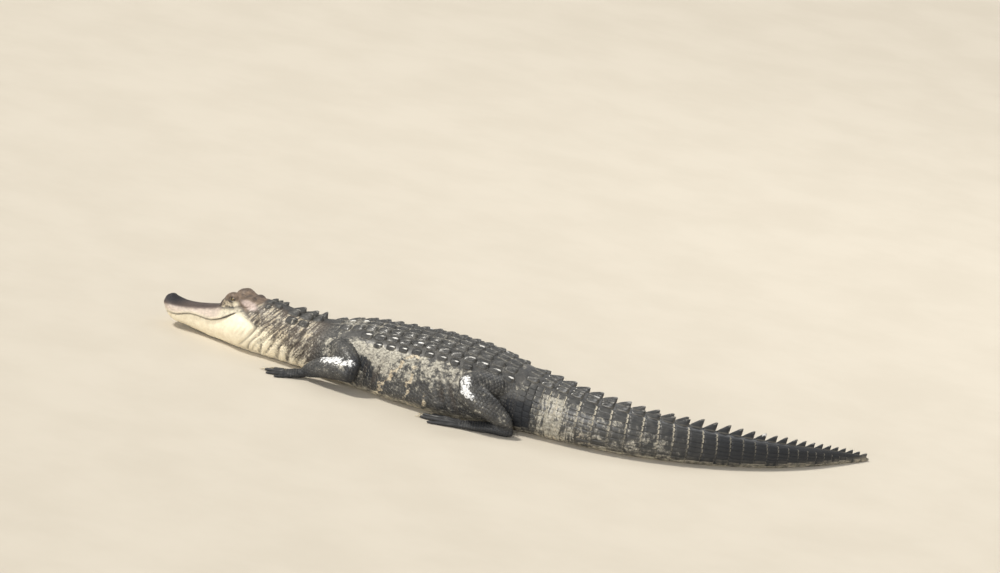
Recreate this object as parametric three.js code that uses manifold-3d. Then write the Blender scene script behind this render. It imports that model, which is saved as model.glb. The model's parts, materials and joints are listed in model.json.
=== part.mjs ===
// A life-size, still American alligator, lying on a flat floor with its belly, throat, feet and tail down.
// Millimetres, +Z up. The head points to -X and the trunk lies along X. The tail curves to the animal's
// right, +Y. A station is a distance along the spine from the tip of the snout. Every length of the body is
// a loft of cross-sections at stations. The horny plates, eyelids, teeth, toes and claws are joined to it.

import * as THREE from "three";
import { mergeVertices } from "three/addons/utils/BufferGeometryUtils.js";
import Module from "manifold-3d";

// Driving dimensions
const totalLength = 2180;
const headEnd = 283;
const neckEnd = 490;
const trunkEnd = 1100;
const straightTrunk = 600; // here a station is also the distance along X
const nodeGap = 0.3; // left between pieces that touch
const trunkRows = 15; // crosswise rows of plates
const trunkRowSpacing = 38;
const firstTrunkRow = 526;
const whorlSpacing = 41; // one ring of tail plates
const lastWhorlSpacing = 29;
const doubleCrestWhorls = 11; // the two crests of the tail run together after these
const innerWhorls = 6; // these have low plates between the crests too

// Heading of the spine, in degrees from +X towards +Y, at a few stations
const headings = [
  [0, -5],
  [280, -5],
  [520, 0],
  [1000, 0],
  [1200, 4],
  [1460, 26],
  [1750, 46],
  [2030, 61],
  [totalLength, 62],
];

// Cross-sections: station, half width, top, height of the widest point, bottom, roundness above and below.
// A roundness of 2 is an ellipse and more is boxier. What lies under the floor is flattened onto it.
const sections = [
  [0, 15, 71, 50, 35, 2.2, 2.2],
  [4, 27, 75, 49, 29, 2.3, 2.3],
  [12, 38, 76, 47, 23, 2.4, 2.4],
  [25, 46, 75, 46, 17, 2.5, 2.4],
  [45, 50, 72, 48, 12, 2.5, 2.5],
  [77, 49, 75, 54, 9, 2.5, 2.5],
  [105, 51, 81, 56, 5, 2.5, 2.5],
  [132, 55, 88, 56, 3, 2.4, 2.5],
  [160, 60, 97, 57, 1, 2.2, 2.5],
  [185, 65, 109, 59, 0, 2.1, 2.4],
  [205, 69, 121, 61, -1, 2.0, 2.4],
  [230, 74, 131, 61, -2, 2.0, 2.4],
  [258, 78, 138, 61, -2, 2.05, 2.4],
  [headEnd, 78, 147, 62, -3, 2.1, 2.4],
  [330, 75, 149, 62, -3, 2.1, 2.4],
  [390, 78, 142, 62, -2, 2.1, 2.4],
  [450, 84, 139, 60, -2, 2.1, 2.4],
  [500, 95, 145, 59, -3, 2.1, 2.5],
  [560, 108, 159, 59, -5, 2.15, 2.6],
  [640, 122, 176, 60, -8, 2.2, 2.7],
  [740, 136, 184, 60, -10, 2.2, 2.8],
  [850, 142, 192, 60, -10, 2.2, 2.8],
  [940, 134, 192, 60, -9, 2.2, 2.7],
  [1020, 112, 184, 62, -6, 2.2, 2.5],
  [trunkEnd, 92, 170, 64, -4, 2.2, 2.4],
  [1190, 83, 153, 62, -3, 2.3, 2.3],
  [1320, 71, 132, 56, -3, 2.4, 2.3],
  [1480, 54, 112, 48, -3, 2.4, 2.3],
  [1640, 39, 93, 40, -2, 2.3, 2.3],
  [1800, 27, 73, 32, -2, 2.2, 2.3],
  [1965, 17, 51, 22, -2, 2.1, 2.3],
  [2095, 9.5, 30, 13, -2, 2, 2.2],
  [2165, 5, 15, 6, -1.5, 2, 2],
  [totalLength, 2.5, 8, 4, 0, 2, 2],
];

// Height of the line of the mouth. It dips under the big upper teeth and sweeps up to a corner below the eye.
const mouthLine = [
  [0, 44],
  [8, 42],
  [32, 41],
  [50, 42],
  [72, 49],
  [96, 56],
  [120, 58],
  [142, 58],
  [165, 61],
  [188, 69],
  [212, 82],
  [232, 96],
  [246, 102],
  [268, 102],
  [headEnd, 98],
];
const mouthCorner = 238;
const lipOverhang = 5; // the upper jaw is wider than the lower one by this on each side
const mouthGap = 0.5;

const skullTable = { start: 226, end: 274, halfWidth: 40, raised: 11 };
const noseBump = { station: 19, raised: 7.5, length: 13, halfWidth: 20 };
const noseOverhang = 9; // the tip of the snout stands out over the chin by this
// The brow over each eye, and the ridge that climbs to it from the snout
const brows = [
  { station: 218, side: 33, height: 130, radii: [29, 17, 21.5] },
  { station: 198, side: 28, height: 107, radii: [36, 17, 20] },
];
const eye = { station: 219, side: 40, height: 135, radius: 14, lid: 1.9 };
const eyeOpening = { halfLength: 12.5, depth: 9, halfHeight: 7.5 };
const nostril = { station: 17, side: 9, height: 88, radii: [6.5, 3, 6] };
const ear = { start: 238, end: 268, side: 50, height: 128, depth: 14, thickness: 3, turn: -0.5 };
const upperTeeth = [20, 35, 50, 90, 110, 130, 150];
const longTeeth = [2, 5]; // which of them are the big ones
const toothSize = { radius: 1.9, root: 4, short: 6, long: 8.5, inset: 1.8 };

const skinColour = "#3b3d3a";
const headColour = "#5d5750";
const throatColour = "#cbbd9c";
const eyeColour = "#8a7a3c";

const wasm = await Module();
wasm.setup();

// Numbers that vary the plates, the same on each run
function seededRandom(seed) {
  let state = seed;
  return () => {
    state = (state * 1664525 + 1013904223) % 4294967296;
    return state / 4294967296;
  };
}

// A smooth curve through rows of [station, value, ...] that never overshoots them, read in one column.
function follow(table, station, column = 1) {
  const last = table.length - 1;
  if (station <= table[0][0]) return table[0][column];
  if (station >= table[last][0]) return table[last][column];
  let i = 0;
  while (table[i + 1][0] < station) i++;
  const slope = (k) => (table[k + 1][column] - table[k][column]) / (table[k + 1][0] - table[k][0]);
  const tangent = (k) => {
    if (k === 0 || k === last) return 0;
    const before = slope(k - 1);
    const after = slope(k);
    return before * after <= 0 ? 0 : (2 * before * after) / (before + after);
  };
  const span = table[i + 1][0] - table[i][0];
  const t = (station - table[i][0]) / span;
  const blend = t * t * (3 - 2 * t);
  return (
    table[i][column] * (1 - blend) +
    table[i + 1][column] * blend +
    span * (tangent(i) * t * (1 - t) ** 2 - tangent(i + 1) * t * t * (1 - t))
  );
}

const smoothStep = (from, to, value) => THREE.MathUtils.smoothstep(value, from, to);
const hill = (distance, width) => Math.exp(-((distance / width) ** 2));

// The spine on the floor, stepped along from its headings. The trunk's part lies on the X axis.
const spineStep = 5;
const spine = (() => {
  const heading = (s) => THREE.MathUtils.degToRad(follow(headings, s));
  const points = [{ x: 0, y: 0, heading: heading(0) }];
  for (let s = spineStep; s <= totalLength; s += spineStep) {
    const before = points[points.length - 1];
    const middle = heading(s - spineStep / 2);
    points.push({
      x: before.x + spineStep * Math.cos(middle),
      y: before.y + spineStep * Math.sin(middle),
      heading: heading(s),
    });
  }
  const { x, y } = points[straightTrunk / spineStep];
  points.forEach((p) => {
    p.x += straightTrunk - x;
    p.y -= y;
  });
  return points;
})();

// A point beside the spine: how far to the animal's right, and how high.
function place(station, side, height) {
  const at = Math.min(station / spineStep, spine.length - 1.001);
  const i = Math.max(Math.floor(at), 0);
  const mix = (name) => THREE.MathUtils.lerp(spine[i][name], spine[i + 1][name], at - i);
  const heading = mix("heading");
  return new THREE.Vector3(
    mix("x") - side * Math.sin(heading),
    mix("y") + side * Math.cos(heading),
    height,
  );
}

// What the crown of the head adds to the plain section: the skull table and the bump of the nose.
function crown(station, side) {
  const table =
    smoothStep(skullTable.start - 8, skullTable.start + 6, station) *
    (1 - smoothStep(skullTable.end - 6, skullTable.end + 8, station)) *
    (1 - smoothStep(skullTable.halfWidth - 5, skullTable.halfWidth + 5, Math.abs(side)));
  const nose = hill(station - noseBump.station, noseBump.length) * hill(side, noseBump.halfWidth);
  return skullTable.raised * table + noseBump.raised * nose;
}

// The section at a station as [side, height]. An angle of 0 is the right flank and 90 degrees the back.
function sectionPoint(station, angle, grow = 0, narrower = 0) {
  const columns = [1, 2, 3, 4, 5, 6];
  const [halfWidth, top, widest, bottom, above, below] = columns.map((c) => follow(sections, station, c));
  const c = Math.cos(angle);
  const s = Math.sin(angle);
  const roundness = s >= 0 ? above : below;
  const side = (halfWidth + grow - narrower) * Math.sign(c) * Math.abs(c) ** (2 / roundness);
  const reach = s >= 0 ? top - widest + grow : widest - bottom + grow;
  let height = widest + Math.sign(s) * reach * Math.abs(s) ** (2 / roundness);
  if (s > 0) height += crown(station, side) * smoothStep(0, 0.5, s);
  return [side, Math.max(height, -grow)];
}

// A closed geometry through rings of points, each ring running anticlockwise as seen from its far end.
function loft(rings) {
  const count = rings[0].length;
  const centres = [rings[0], rings[rings.length - 1]].map((ring) =>
    ring.reduce((sum, p) => sum.add(p), new THREE.Vector3()).divideScalar(count),
  );
  const positions = [...rings.flat(), ...centres].flatMap((p) => [p.x, p.y, p.z]);
  const first = rings.length * count;
  const index = [];
  for (let i = 0; i < count; i++) {
    const j = (i + 1) % count;
    for (let r = 0; r + 1 < rings.length; r++) {
      const [a, b, c, d] = [r * count + i, r * count + j, (r + 1) * count + j, (r + 1) * count + i];
      index.push(a, b, c, a, c, d);
    }
    const end = (rings.length - 1) * count;
    index.push(first, j, i);
    index.push(first + 1, end + i, end + j);
  }
  const geometry = new THREE.BufferGeometry();
  geometry.setAttribute("position", new THREE.Float32BufferAttribute(positions, 3));
  geometry.setIndex(index);
  return geometry;
}

const sameVertex = 1e-4;

function solidOf(geometry) {
  const plain = geometry.clone();
  plain.deleteAttribute("normal");
  plain.deleteAttribute("uv");
  const merged = mergeVertices(plain, sameVertex);
  const mesh = new wasm.Mesh({
    numProp: 3,
    vertProperties: merged.attributes.position.array,
    triVerts: new Uint32Array(merged.index.array),
  });
  return new wasm.Manifold(mesh);
}

function join(solids) {
  return solids.reduce((all, piece) => all.add(piece));
}

// The largest closed body of a solid, which drops loose scraps and sealed hollows.
function largest(solid) {
  return solid.decompose().sort((a, b) => b.volume() - a.volume())[0];
}

function meshOf(name, solid, colour, roughness = 0.6) {
  const { vertProperties, triVerts } = largest(solid).getMesh();
  const geometry = new THREE.BufferGeometry();
  geometry.setAttribute("position", new THREE.BufferAttribute(vertProperties, 3));
  geometry.setIndex(new THREE.BufferAttribute(triVerts, 1));
  geometry.computeVertexNormals();
  const material = new THREE.MeshStandardMaterial({ color: colour, roughness, metalness: 0 });
  const mesh = new THREE.Mesh(geometry, material);
  mesh.name = name;
  return mesh;
}

function ball(centre, radii, across = 16, up = 10) {
  const geometry = new THREE.SphereGeometry(1, across, up).scale(...radii);
  return solidOf(geometry.translate(centre.x, centre.y, centre.z));
}

// A ball that is turned with the spine at its station
function ballAt(station, side, height, radii, across, up) {
  const heading = THREE.MathUtils.degToRad(follow(headings, station));
  const centre = place(station, side, height);
  const geometry = new THREE.SphereGeometry(1, across, up).scale(...radii).rotateZ(heading);
  return solidOf(geometry.translate(centre.x, centre.y, centre.z));
}

// A length of neck, trunk or tail
function bodyLength(from, to, lengths, around, grow = 0) {
  const rings = [];
  for (let r = 0; r <= lengths; r++) {
    const station = THREE.MathUtils.lerp(from - grow, to + grow, r / lengths);
    const ring = [];
    for (let i = 0; i < around; i++) {
      const [side, height] = sectionPoint(station, (i / around) * 2 * Math.PI, grow);
      ring.push(place(station, side, height));
    }
    rings.push(ring);
  }
  return solidOf(loft(rings));
}

// The line over the back at a station, from its middle to the flank: side, height and distance along it
function backLine(station) {
  const steps = 40;
  const line = [];
  let distance = 0;
  for (let i = 0; i <= steps; i++) {
    const [side, height] = sectionPoint(station, Math.PI / 2 - (i / steps) * (Math.PI / 2));
    if (i) distance += Math.hypot(side - line[i - 1][1], height - line[i - 1][2]);
    line.push([distance, side, height]);
  }
  return line;
}

// A point over the back: so far round from its middle, and so far off the skin
function overBack(station, round, off) {
  const line = backLine(station);
  const far = Math.abs(round);
  let i = 1;
  while (i < line.length - 1 && line[i][0] < far) i++;
  const [before, after] = [line[i - 1], line[i]];
  const span = after[0] - before[0];
  const t = (far - before[0]) / span;
  const side = THREE.MathUtils.lerp(before[1], after[1], t);
  const height = THREE.MathUtils.lerp(before[2], after[2], t);
  const outward = [-(after[2] - before[2]) / span, (after[1] - before[1]) / span];
  return place(station, Math.sign(round || 1) * (side + outward[0] * off), height + outward[1] * off);
}

// A plate narrows from its root to its rim, and its keel starts this far forward of its middle.
const plateTaper = { along: 0.94, across: 0.9, keel: 0.55 };

// A plate of the back: a low roof whose keel rises to the rear, with its root sunk in the skin.
function keeledPlate({ station, round, length, width, rim, keelFront, keelRear, lean = 0.3, root = 4 }) {
  const corner = (along, across, off) =>
    overBack(station + (along * length) / 2, round + (across * width) / 2, off);
  const ends = [
    [-1, -1],
    [-1, 1],
    [1, 1],
    [1, -1],
  ];
  const points = [
    ...ends.map(([along, across]) => corner(along, across, -root)),
    ...ends.map(([along, across]) => corner(along * plateTaper.along, across * plateTaper.across, rim)),
    corner(-plateTaper.keel, 0, keelFront),
    corner(1 - lean, 0, keelRear),
  ];
  const faces = [
    [0, 1, 2],
    [0, 2, 3],
    [0, 3, 7],
    [0, 7, 4],
    [3, 2, 6],
    [3, 6, 7],
    [2, 1, 5],
    [2, 5, 6],
    [1, 0, 4],
    [1, 4, 5],
    [4, 8, 5],
    [4, 7, 9],
    [4, 9, 8],
    [7, 6, 9],
    [6, 5, 8],
    [6, 8, 9],
  ];
  const positions = points.flatMap((p) => [p.x, p.y, p.z]);
  const geometry = new THREE.BufferGeometry();
  geometry.setAttribute("position", new THREE.Float32BufferAttribute(positions, 3));
  geometry.setIndex(faces.flat());
  return solidOf(geometry);
}

// How far forward the snout leans at a point of its section
function overhang(station, height) {
  return noseOverhang * (1 - smoothStep(12, 70, station)) * smoothStep(44, 62, height);
}

// The upper or the lower jaw's part of a section of the head, cut flat at the line of the mouth
function jawRing(station, upper, around) {
  const cut = follow(mouthLine, station);
  const level = upper ? cut : cut - mouthGap;
  const narrower = upper ? 0 : lipOverhang * (1 - smoothStep(mouthCorner - 22, mouthCorner + 8, station));
  const [top, widest, bottom, above, below] = [2, 3, 4, 5, 6].map((c) => follow(sections, station, c));
  const share =
    level >= widest
      ? ((level - widest) / (top - widest)) ** (above / 2)
      : -(((widest - level) / (widest - bottom)) ** (below / 2));
  const start = Math.asin(share);
  const sweep = upper ? Math.PI - 2 * start : -(Math.PI + 2 * start);
  const ring = [];
  for (let i = 0; i <= around; i++) {
    let [side, height] = sectionPoint(station, start + (sweep * i) / around, 0, narrower);
    if (i === 0 || i === around) height = level;
    ring.push(place(station - overhang(station, height), side, height));
  }
  return upper ? ring : ring.reverse();
}

const headStations = [
  0, 3, 8, 15, 23, 33, 45, 62, 80, 100, 120, 140, 158, 174, 190, 204, 217, 226, 234, 242, 254, 266, headEnd,
];

function makeHead() {
  const rings = headStations.map((station) => jawRing(station, true, 20));
  const pieces = [solidOf(loft(rings))];
  const cuts = [];
  for (const side of [-1, 1]) {
    brows.forEach(({ station, side: out, height, radii }) => {
      pieces.push(ballAt(station, side * out, height, radii, 9, 6));
    });
    const lid = eye.radius + eye.lid;
    pieces.push(ballAt(eye.station, side * eye.side, eye.height, [lid, lid, lid], 12, 8));
    pieces.push(...upperTeeth.map((station, i) => tooth(station, side, i)));
    cuts.push(
      ballAt(
        eye.station,
        side * (eye.side + eye.radius + 2),
        eye.height - 1,
        [eyeOpening.halfLength, eyeOpening.depth, eyeOpening.halfHeight],
        10,
        6,
      ),
    );
    const socket = eye.radius + nodeGap;
    cuts.push(ballAt(eye.station, side * eye.side, eye.height, [socket, socket, socket], 12, 8));
    const nostrilStation = nostril.station - noseOverhang;
    cuts.push(ballAt(nostrilStation, side * nostril.side, nostril.height, nostril.radii, 6, 5));
    cuts.push(earSlit(side));
  }
  return cuts.reduce((head, cut) => head.subtract(cut), join(pieces));
}

// The slit of the ear, under the edge of the skull table
function earSlit(side) {
  const geometry = new THREE.BoxGeometry(ear.end - ear.start, ear.depth, ear.thickness);
  const middle = place((ear.start + ear.end) / 2, side * ear.side, ear.height);
  geometry.rotateX(side * ear.turn).rotateZ(THREE.MathUtils.degToRad(follow(headings, ear.start)));
  return solidOf(geometry.translate(middle.x, middle.y, middle.z));
}

// An upper tooth, which lies outside the lower lip
function tooth(station, side, i) {
  const length = toothSize.root + (longTeeth.includes(i) ? toothSize.long : toothSize.short);
  const [halfWidth] = sectionPoint(station, 0);
  const height = follow(mouthLine, station) + toothSize.root - length / 2;
  const geometry = new THREE.ConeGeometry(toothSize.radius, length, 5).rotateX(-Math.PI / 2);
  const at = place(station, side * (halfWidth - toothSize.inset), height);
  return solidOf(geometry.translate(at.x, at.y, at.z));
}

function makeLowerJaw() {
  const rings = headStations.slice(1).map((station) => jawRing(station, false, 14));
  return solidOf(loft(rings));
}

// The neck's tall plates on one side: a few small ones behind the skull, then a shield of large ones.
// Station, distance round from the middle, length, width and height of the keel.
const neckPlateSizes = [
  [318, 13, 18, 17, 6],
  [322, 36, 18, 18, 6],
  [348, 20, 18, 18, 7],
  [396, 17, 34, 31, 13],
  [404, 50, 32, 27, 11],
  [434, 17, 35, 31, 15],
  [440, 49, 30, 24, 11],
  [468, 14, 27, 25, 17],
];

function neckPlates(random) {
  const plates = [];
  for (const [station, round, length, width, keel] of neckPlateSizes) {
    const vary = 0.92 + 0.16 * random();
    for (const side of [-1, 1]) {
      plates.push(
        keeledPlate({
          station,
          round: side * round,
          length,
          width: width * vary,
          rim: 2.5,
          keelFront: 4,
          keelRear: keel * vary,
        }),
      );
    }
  }
  return plates;
}

// How many plates stand on each side of the middle in a row of the trunk
function trunkColumns(row) {
  if (row === 0) return 1;
  if (row < 3 || row > 12) return 2;
  return 3;
}

function trunkPlates(random) {
  const plates = [];
  const columns = [
    { round: 17, width: 31, keel: 6 },
    { round: 49.5, width: 30, keel: 7.5 },
    { round: 81, width: 28, keel: 8.5 },
  ];
  for (let row = 0; row < trunkRows; row++) {
    const station = firstTrunkRow + row * trunkRowSpacing;
    columns.slice(0, trunkColumns(row)).forEach(({ round, width, keel }) => {
      const vary = 0.94 + 0.1 * random();
      for (const side of [-1, 1]) {
        plates.push(
          keeledPlate({
            station: station + (random() - 0.5) * 2,
            round: side * round,
            length: trunkRowSpacing * 0.88,
            width: width * vary,
            rim: 2,
            keelFront: 3.5,
            keelRear: keel * vary,
          }),
        );
      }
    });
  }
  return plates;
}

// The rings of tail plates, as the stations where each begins
const whorls = (() => {
  const edges = [trunkEnd];
  while (edges[edges.length - 1] < totalLength - 30) {
    const at = edges[edges.length - 1];
    const t = smoothStep(1500, totalLength, at);
    edges.push(at + THREE.MathUtils.lerp(whorlSpacing, lastWhorlSpacing, t));
  }
  return edges;
})();

// The upright crest plates of a run of whorls, and the low plates between them near the trunk
function tailPlates(from, to, random) {
  const plates = [];
  for (let whorl = from; whorl < to; whorl++) {
    const [start, end] = [whorls[whorl], whorls[whorl + 1]];
    const length = (end - start) * 0.84;
    const station = (start + end) / 2;
    const vary = 0.94 + 0.12 * random();
    const size = 1 - smoothStep(1500, totalLength + 150, station);
    if (whorl < doubleCrestWhorls) {
      const t = whorl / (doubleCrestWhorls - 1);
      const round = THREE.MathUtils.lerp(47, 8.5, t ** 0.8);
      const width = THREE.MathUtils.lerp(23, 13, t);
      const keelRear = THREE.MathUtils.lerp(9, 18, t) * vary;
      for (const side of [-1, 1]) {
        const crest = { station, round: side * round, length, width, rim: 2.5, keelFront: 4, keelRear };
        plates.push(keeledPlate(crest));
        if (whorl < innerWhorls) {
          const inner = Math.min(14, round / 2 - 4);
          const low = { round: side * inner, width: inner * 1.7, rim: 2, keelFront: 3, keelRear: 5 };
          plates.push(keeledPlate({ station, length, ...low }));
        }
      }
    } else {
      const width = THREE.MathUtils.lerp(5, 13, size);
      plates.push(
        keeledPlate({
          station,
          round: 0,
          length,
          width,
          rim: 2,
          keelFront: 5,
          keelRear: THREE.MathUtils.lerp(6, 24, size) * vary,
          lean: 0.22,
          root: THREE.MathUtils.lerp(2, 4, size),
        }),
      );
    }
  }
  return plates;
}

// A limb's segment, toe or palm: a smooth tube through [x, y, z, half width, half height],
// flattened where it meets the floor
function limb(path, sides, steps, grow = 0) {
  const curve = new THREE.CatmullRomCurve3(path.map(([x, y, z]) => new THREE.Vector3(x, y, z)));
  const radii = path.map(([, , , across, up], i) => [i, across, up]);
  const rings = [];
  for (let r = 0; r <= steps; r++) {
    const t = r / steps;
    const centre = curve.getPoint(t);
    const tangent = curve.getTangent(t);
    const across = new THREE.Vector3(0, 0, 1).cross(tangent).normalize();
    const up = tangent.clone().cross(across);
    const [wide, high] = [1, 2].map((c) => follow(radii, t * (path.length - 1), c) + grow);
    const ring = [];
    for (let i = 0; i < sides; i++) {
      const a = ((i + 0.5) / sides) * 2 * Math.PI;
      const p = centre
        .clone()
        .addScaledVector(across, wide * Math.cos(a))
        .addScaledVector(up, high * Math.sin(a));
      p.z = Math.max(p.z, -grow);
      ring.push(p);
    }
    rings.push(ring);
  }
  return solidOf(loft(rings));
}

const clawLength = 15;
const webSheet = { bottom: 1.5, top: 5.5 };
const webHollow = 0.16; // how far the edge of a web curves in towards the heel

// A toe from its knuckle to its tip along the floor, with a claw if it has one
function toe([x, y, z], [tipX, tipY], thickness, hasClaw) {
  const between = (t, height, radius) => [
    THREE.MathUtils.lerp(x, tipX, t),
    THREE.MathUtils.lerp(y, tipY, t),
    height,
    radius,
    radius * 0.9,
  ];
  const toePath = [
    between(0, z, thickness),
    between(0.35, z * 0.85 + 1, thickness * 1.05),
    between(0.75, thickness * 0.7, thickness * 0.8),
    between(1, thickness * 0.6, thickness * 0.5),
  ];
  const pieces = [limb(toePath, 5, 3)];
  if (hasClaw) {
    const reach = clawLength / Math.hypot(tipX - x, tipY - y);
    const clawPath = [
      between(1 - reach * 0.5, thickness * 0.8, thickness * 0.45),
      between(1 + reach, 1.2, 0.5),
    ];
    pieces.push(limb(clawPath, 4, 1));
  }
  return pieces;
}

// A sheet of web between two toes, to a share of their length
function web(heel, a, b, share) {
  const mix = (p, q, t) => [THREE.MathUtils.lerp(p[0], q[0], t), THREE.MathUtils.lerp(p[1], q[1], t)];
  const [tipA, tipB] = [mix(a.knuckle, a.tip, share), mix(b.knuckle, b.tip, share)];
  const hollow = mix(mix(tipA, tipB, 0.5), heel, webHollow);
  const outline = [a.knuckle, tipA, hollow, tipB, b.knuckle];
  const turn = outline.reduce((sum, [x, y], i) => {
    const [nextX, nextY] = outline[(i + 1) % outline.length];
    return sum + x * nextY - nextX * y;
  }, 0);
  if (turn < 0) outline.reverse();
  const layers = [webSheet.bottom, webSheet.top];
  return solidOf(loft(layers.map((z) => outline.map(([x, y]) => new THREE.Vector3(x, y, z)))));
}

function foot({ palm, toes, webShare }) {
  const pieces = [limb(palm, 8, 4)];
  toes.forEach(({ knuckle, tip, thickness, claw }) => {
    pieces.push(...toe([...knuckle, thickness], tip, thickness, claw));
  });
  for (let i = 0; webShare && i + 1 < toes.length; i++) {
    pieces.push(web(palm[0], toes[i], toes[i + 1], webShare));
  }
  return join(pieces);
}

// The left limbs. The right ones are these, mirrored and set a little further forward or back.
const foreLeg = {
  upper: [
    [560, -50, 92, 28, 28],
    [580, -82, 94, 38, 36],
    [606, -114, 88, 34, 33],
    [634, -142, 74, 29, 29],
    [649, -152, 66, 16, 17],
    [654, -155, 63, 6, 7],
  ],
  lower: [
    [656, -152, 60, 10, 12],
    [640, -150, 60, 26, 27],
    [594, -142, 56, 29, 30],
    [545, -134, 44, 26, 27],
    [512, -131, 28, 19, 19],
    [494, -130, 19, 14, 12],
    [486, -130, 17, 8, 8],
  ],
  palm: [
    [504, -130, 15, 10, 9],
    [492, -131, 14, 17, 12],
    [472, -138, 11, 23, 10],
    [456, -144, 9, 21, 8],
    [450, -146, 8, 12, 6],
  ],
  toes: [
    { knuckle: [480, -120], tip: [436, -102], thickness: 6, claw: true },
    { knuckle: [464, -130], tip: [406, -124], thickness: 6.5, claw: true },
    { knuckle: [458, -142], tip: [392, -154], thickness: 6.5, claw: true },
    { knuckle: [460, -153], tip: [406, -180], thickness: 5.5, claw: false },
    { knuckle: [470, -160], tip: [436, -192], thickness: 5, claw: false },
  ],
  webShare: 0,
};
const hindLeg = {
  upper: [
    [1052, -38, 106, 30, 30],
    [1032, -72, 113, 40, 38],
    [1008, -106, 118, 40, 37],
    [988, -136, 119, 37, 36],
    [974, -155, 113, 31, 31],
    [965, -167, 107, 12, 13],
  ],
  lower: [
    [961, -162, 108, 10, 12],
    [971, -161, 105, 30, 31],
    [998, -157, 95, 35, 36],
    [1034, -149, 77, 33, 34],
    [1070, -140, 56, 25, 27],
    [1100, -131, 38, 17, 19],
    [1114, -126, 28, 8, 9],
  ],
  palm: [
    [1120, -124, 15, 8, 9],
    [1102, -127, 17, 16, 17],
    [1052, -136, 14, 20, 14],
    [1004, -150, 11, 25, 11],
    [976, -158, 8, 21, 8],
  ],
  toes: [
    { knuckle: [986, -140], tip: [884, -128], thickness: 7, claw: true },
    { knuckle: [976, -150], tip: [866, -150], thickness: 7.5, claw: true },
    { knuckle: [974, -161], tip: [868, -176], thickness: 7.5, claw: true },
    { knuckle: [984, -170], tip: [900, -204], thickness: 6.5, claw: false },
  ],
  webShare: 0.6,
};

function mirrored(leg, forward, splay) {
  const flip = ([x, y, ...rest]) => [x - forward - splay * Math.max(0, -y - 90), -y, ...rest];
  return {
    ...leg,
    upper: leg.upper.map(flip),
    lower: leg.lower.map(flip),
    palm: leg.palm.map(flip),
    toes: leg.toes.map((t) => ({ ...t, knuckle: flip(t.knuckle), tip: flip(t.tip) })).reverse(),
  };
}

// The three solids of a leg. Each is cut clear of the one that it grows from, and all of them of the trunk.
function legSolids(leg, trunkWithGap) {
  const [upperSides, lowerSides, steps] = [14, 12, 8];
  const upper = limb(leg.upper, upperSides, steps).subtract(trunkWithGap);
  const upperWithGap = limb(leg.upper, upperSides, steps, nodeGap);
  const lower = limb(leg.lower, lowerSides, steps).subtract(trunkWithGap).subtract(upperWithGap);
  const lowerWithGap = limb(leg.lower, lowerSides, steps, nodeGap);
  const sole = foot(leg).subtract(lowerWithGap).subtract(trunkWithGap).subtract(upperWithGap);
  return { upper, lower, foot: sole };
}

const model = new THREE.Group();

model.add(meshOf("head", makeHead(), headColour));
model.add(meshOf("lower_jaw", makeLowerJaw(), throatColour));
for (const [name, side] of [
  ["eye_left", -1],
  ["eye_right", 1],
]) {
  const globe = [eye.radius, eye.radius, eye.radius];
  model.add(meshOf(name, ballAt(eye.station, side * eye.side, eye.height, globe, 12, 8), eyeColour, 0.1));
}

const random = seededRandom(7);
const neck = bodyLength(headEnd + nodeGap, neckEnd, 7, 26);
model.add(meshOf("neck", join([neck, ...neckPlates(random)]), headColour));

const trunkLengths = 15;
const trunkSides = 28;
const trunk = bodyLength(neckEnd + nodeGap, trunkEnd, trunkLengths, trunkSides);
model.add(meshOf("torso", join([trunk, ...trunkPlates(random)]), skinColour));

const tailRuns = [
  { name: "tail_base", from: 0, to: 8, lengths: 10, around: 24 },
  { name: "tail_middle", from: 8, to: 16, lengths: 8, around: 20 },
  { name: "tail_end", from: 16, to: whorls.length - 1, lengths: 10, around: 16 },
];
tailRuns.forEach(({ name, from, to, lengths, around }) => {
  const end = to === whorls.length - 1 ? totalLength : whorls[to];
  const flesh = bodyLength(whorls[from] + nodeGap, end, lengths, around);
  model.add(meshOf(name, join([flesh, ...tailPlates(from, to, random)]), skinColour));
});

const trunkWithGap = bodyLength(neckEnd + nodeGap, trunkEnd, trunkLengths, trunkSides, nodeGap);
const legs = {
  fore_left: foreLeg,
  fore_right: mirrored(foreLeg, -18, 0.1),
  hind_left: hindLeg,
  hind_right: mirrored(hindLeg, 14, -0.12),
};
for (const [name, leg] of Object.entries(legs)) {
  const solids = legSolids(leg, trunkWithGap);
  const fore = name.startsWith("fore");
  model.add(meshOf(`${name}_${fore ? "upper_arm" : "thigh"}`, solids.upper, skinColour));
  model.add(meshOf(`${name}_${fore ? "forearm" : "shank"}`, solids.lower, skinColour));
  model.add(meshOf(`${name}_foot`, solids.foot, skinColour));
}

// The origin is on the floor under the middle of the whole animal.
const bounds = new THREE.Box3().setFromObject(model);
model.position.set(-(bounds.min.x + bounds.max.x) / 2, -(bounds.min.y + bounds.max.y) / 2, 0);

export default model;
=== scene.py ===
import json
import math

import bpy
import numpy as np
from mathutils import Matrix, Vector
from mathutils.bvhtree import BVHTree
from mathutils.kdtree import KDTree

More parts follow.
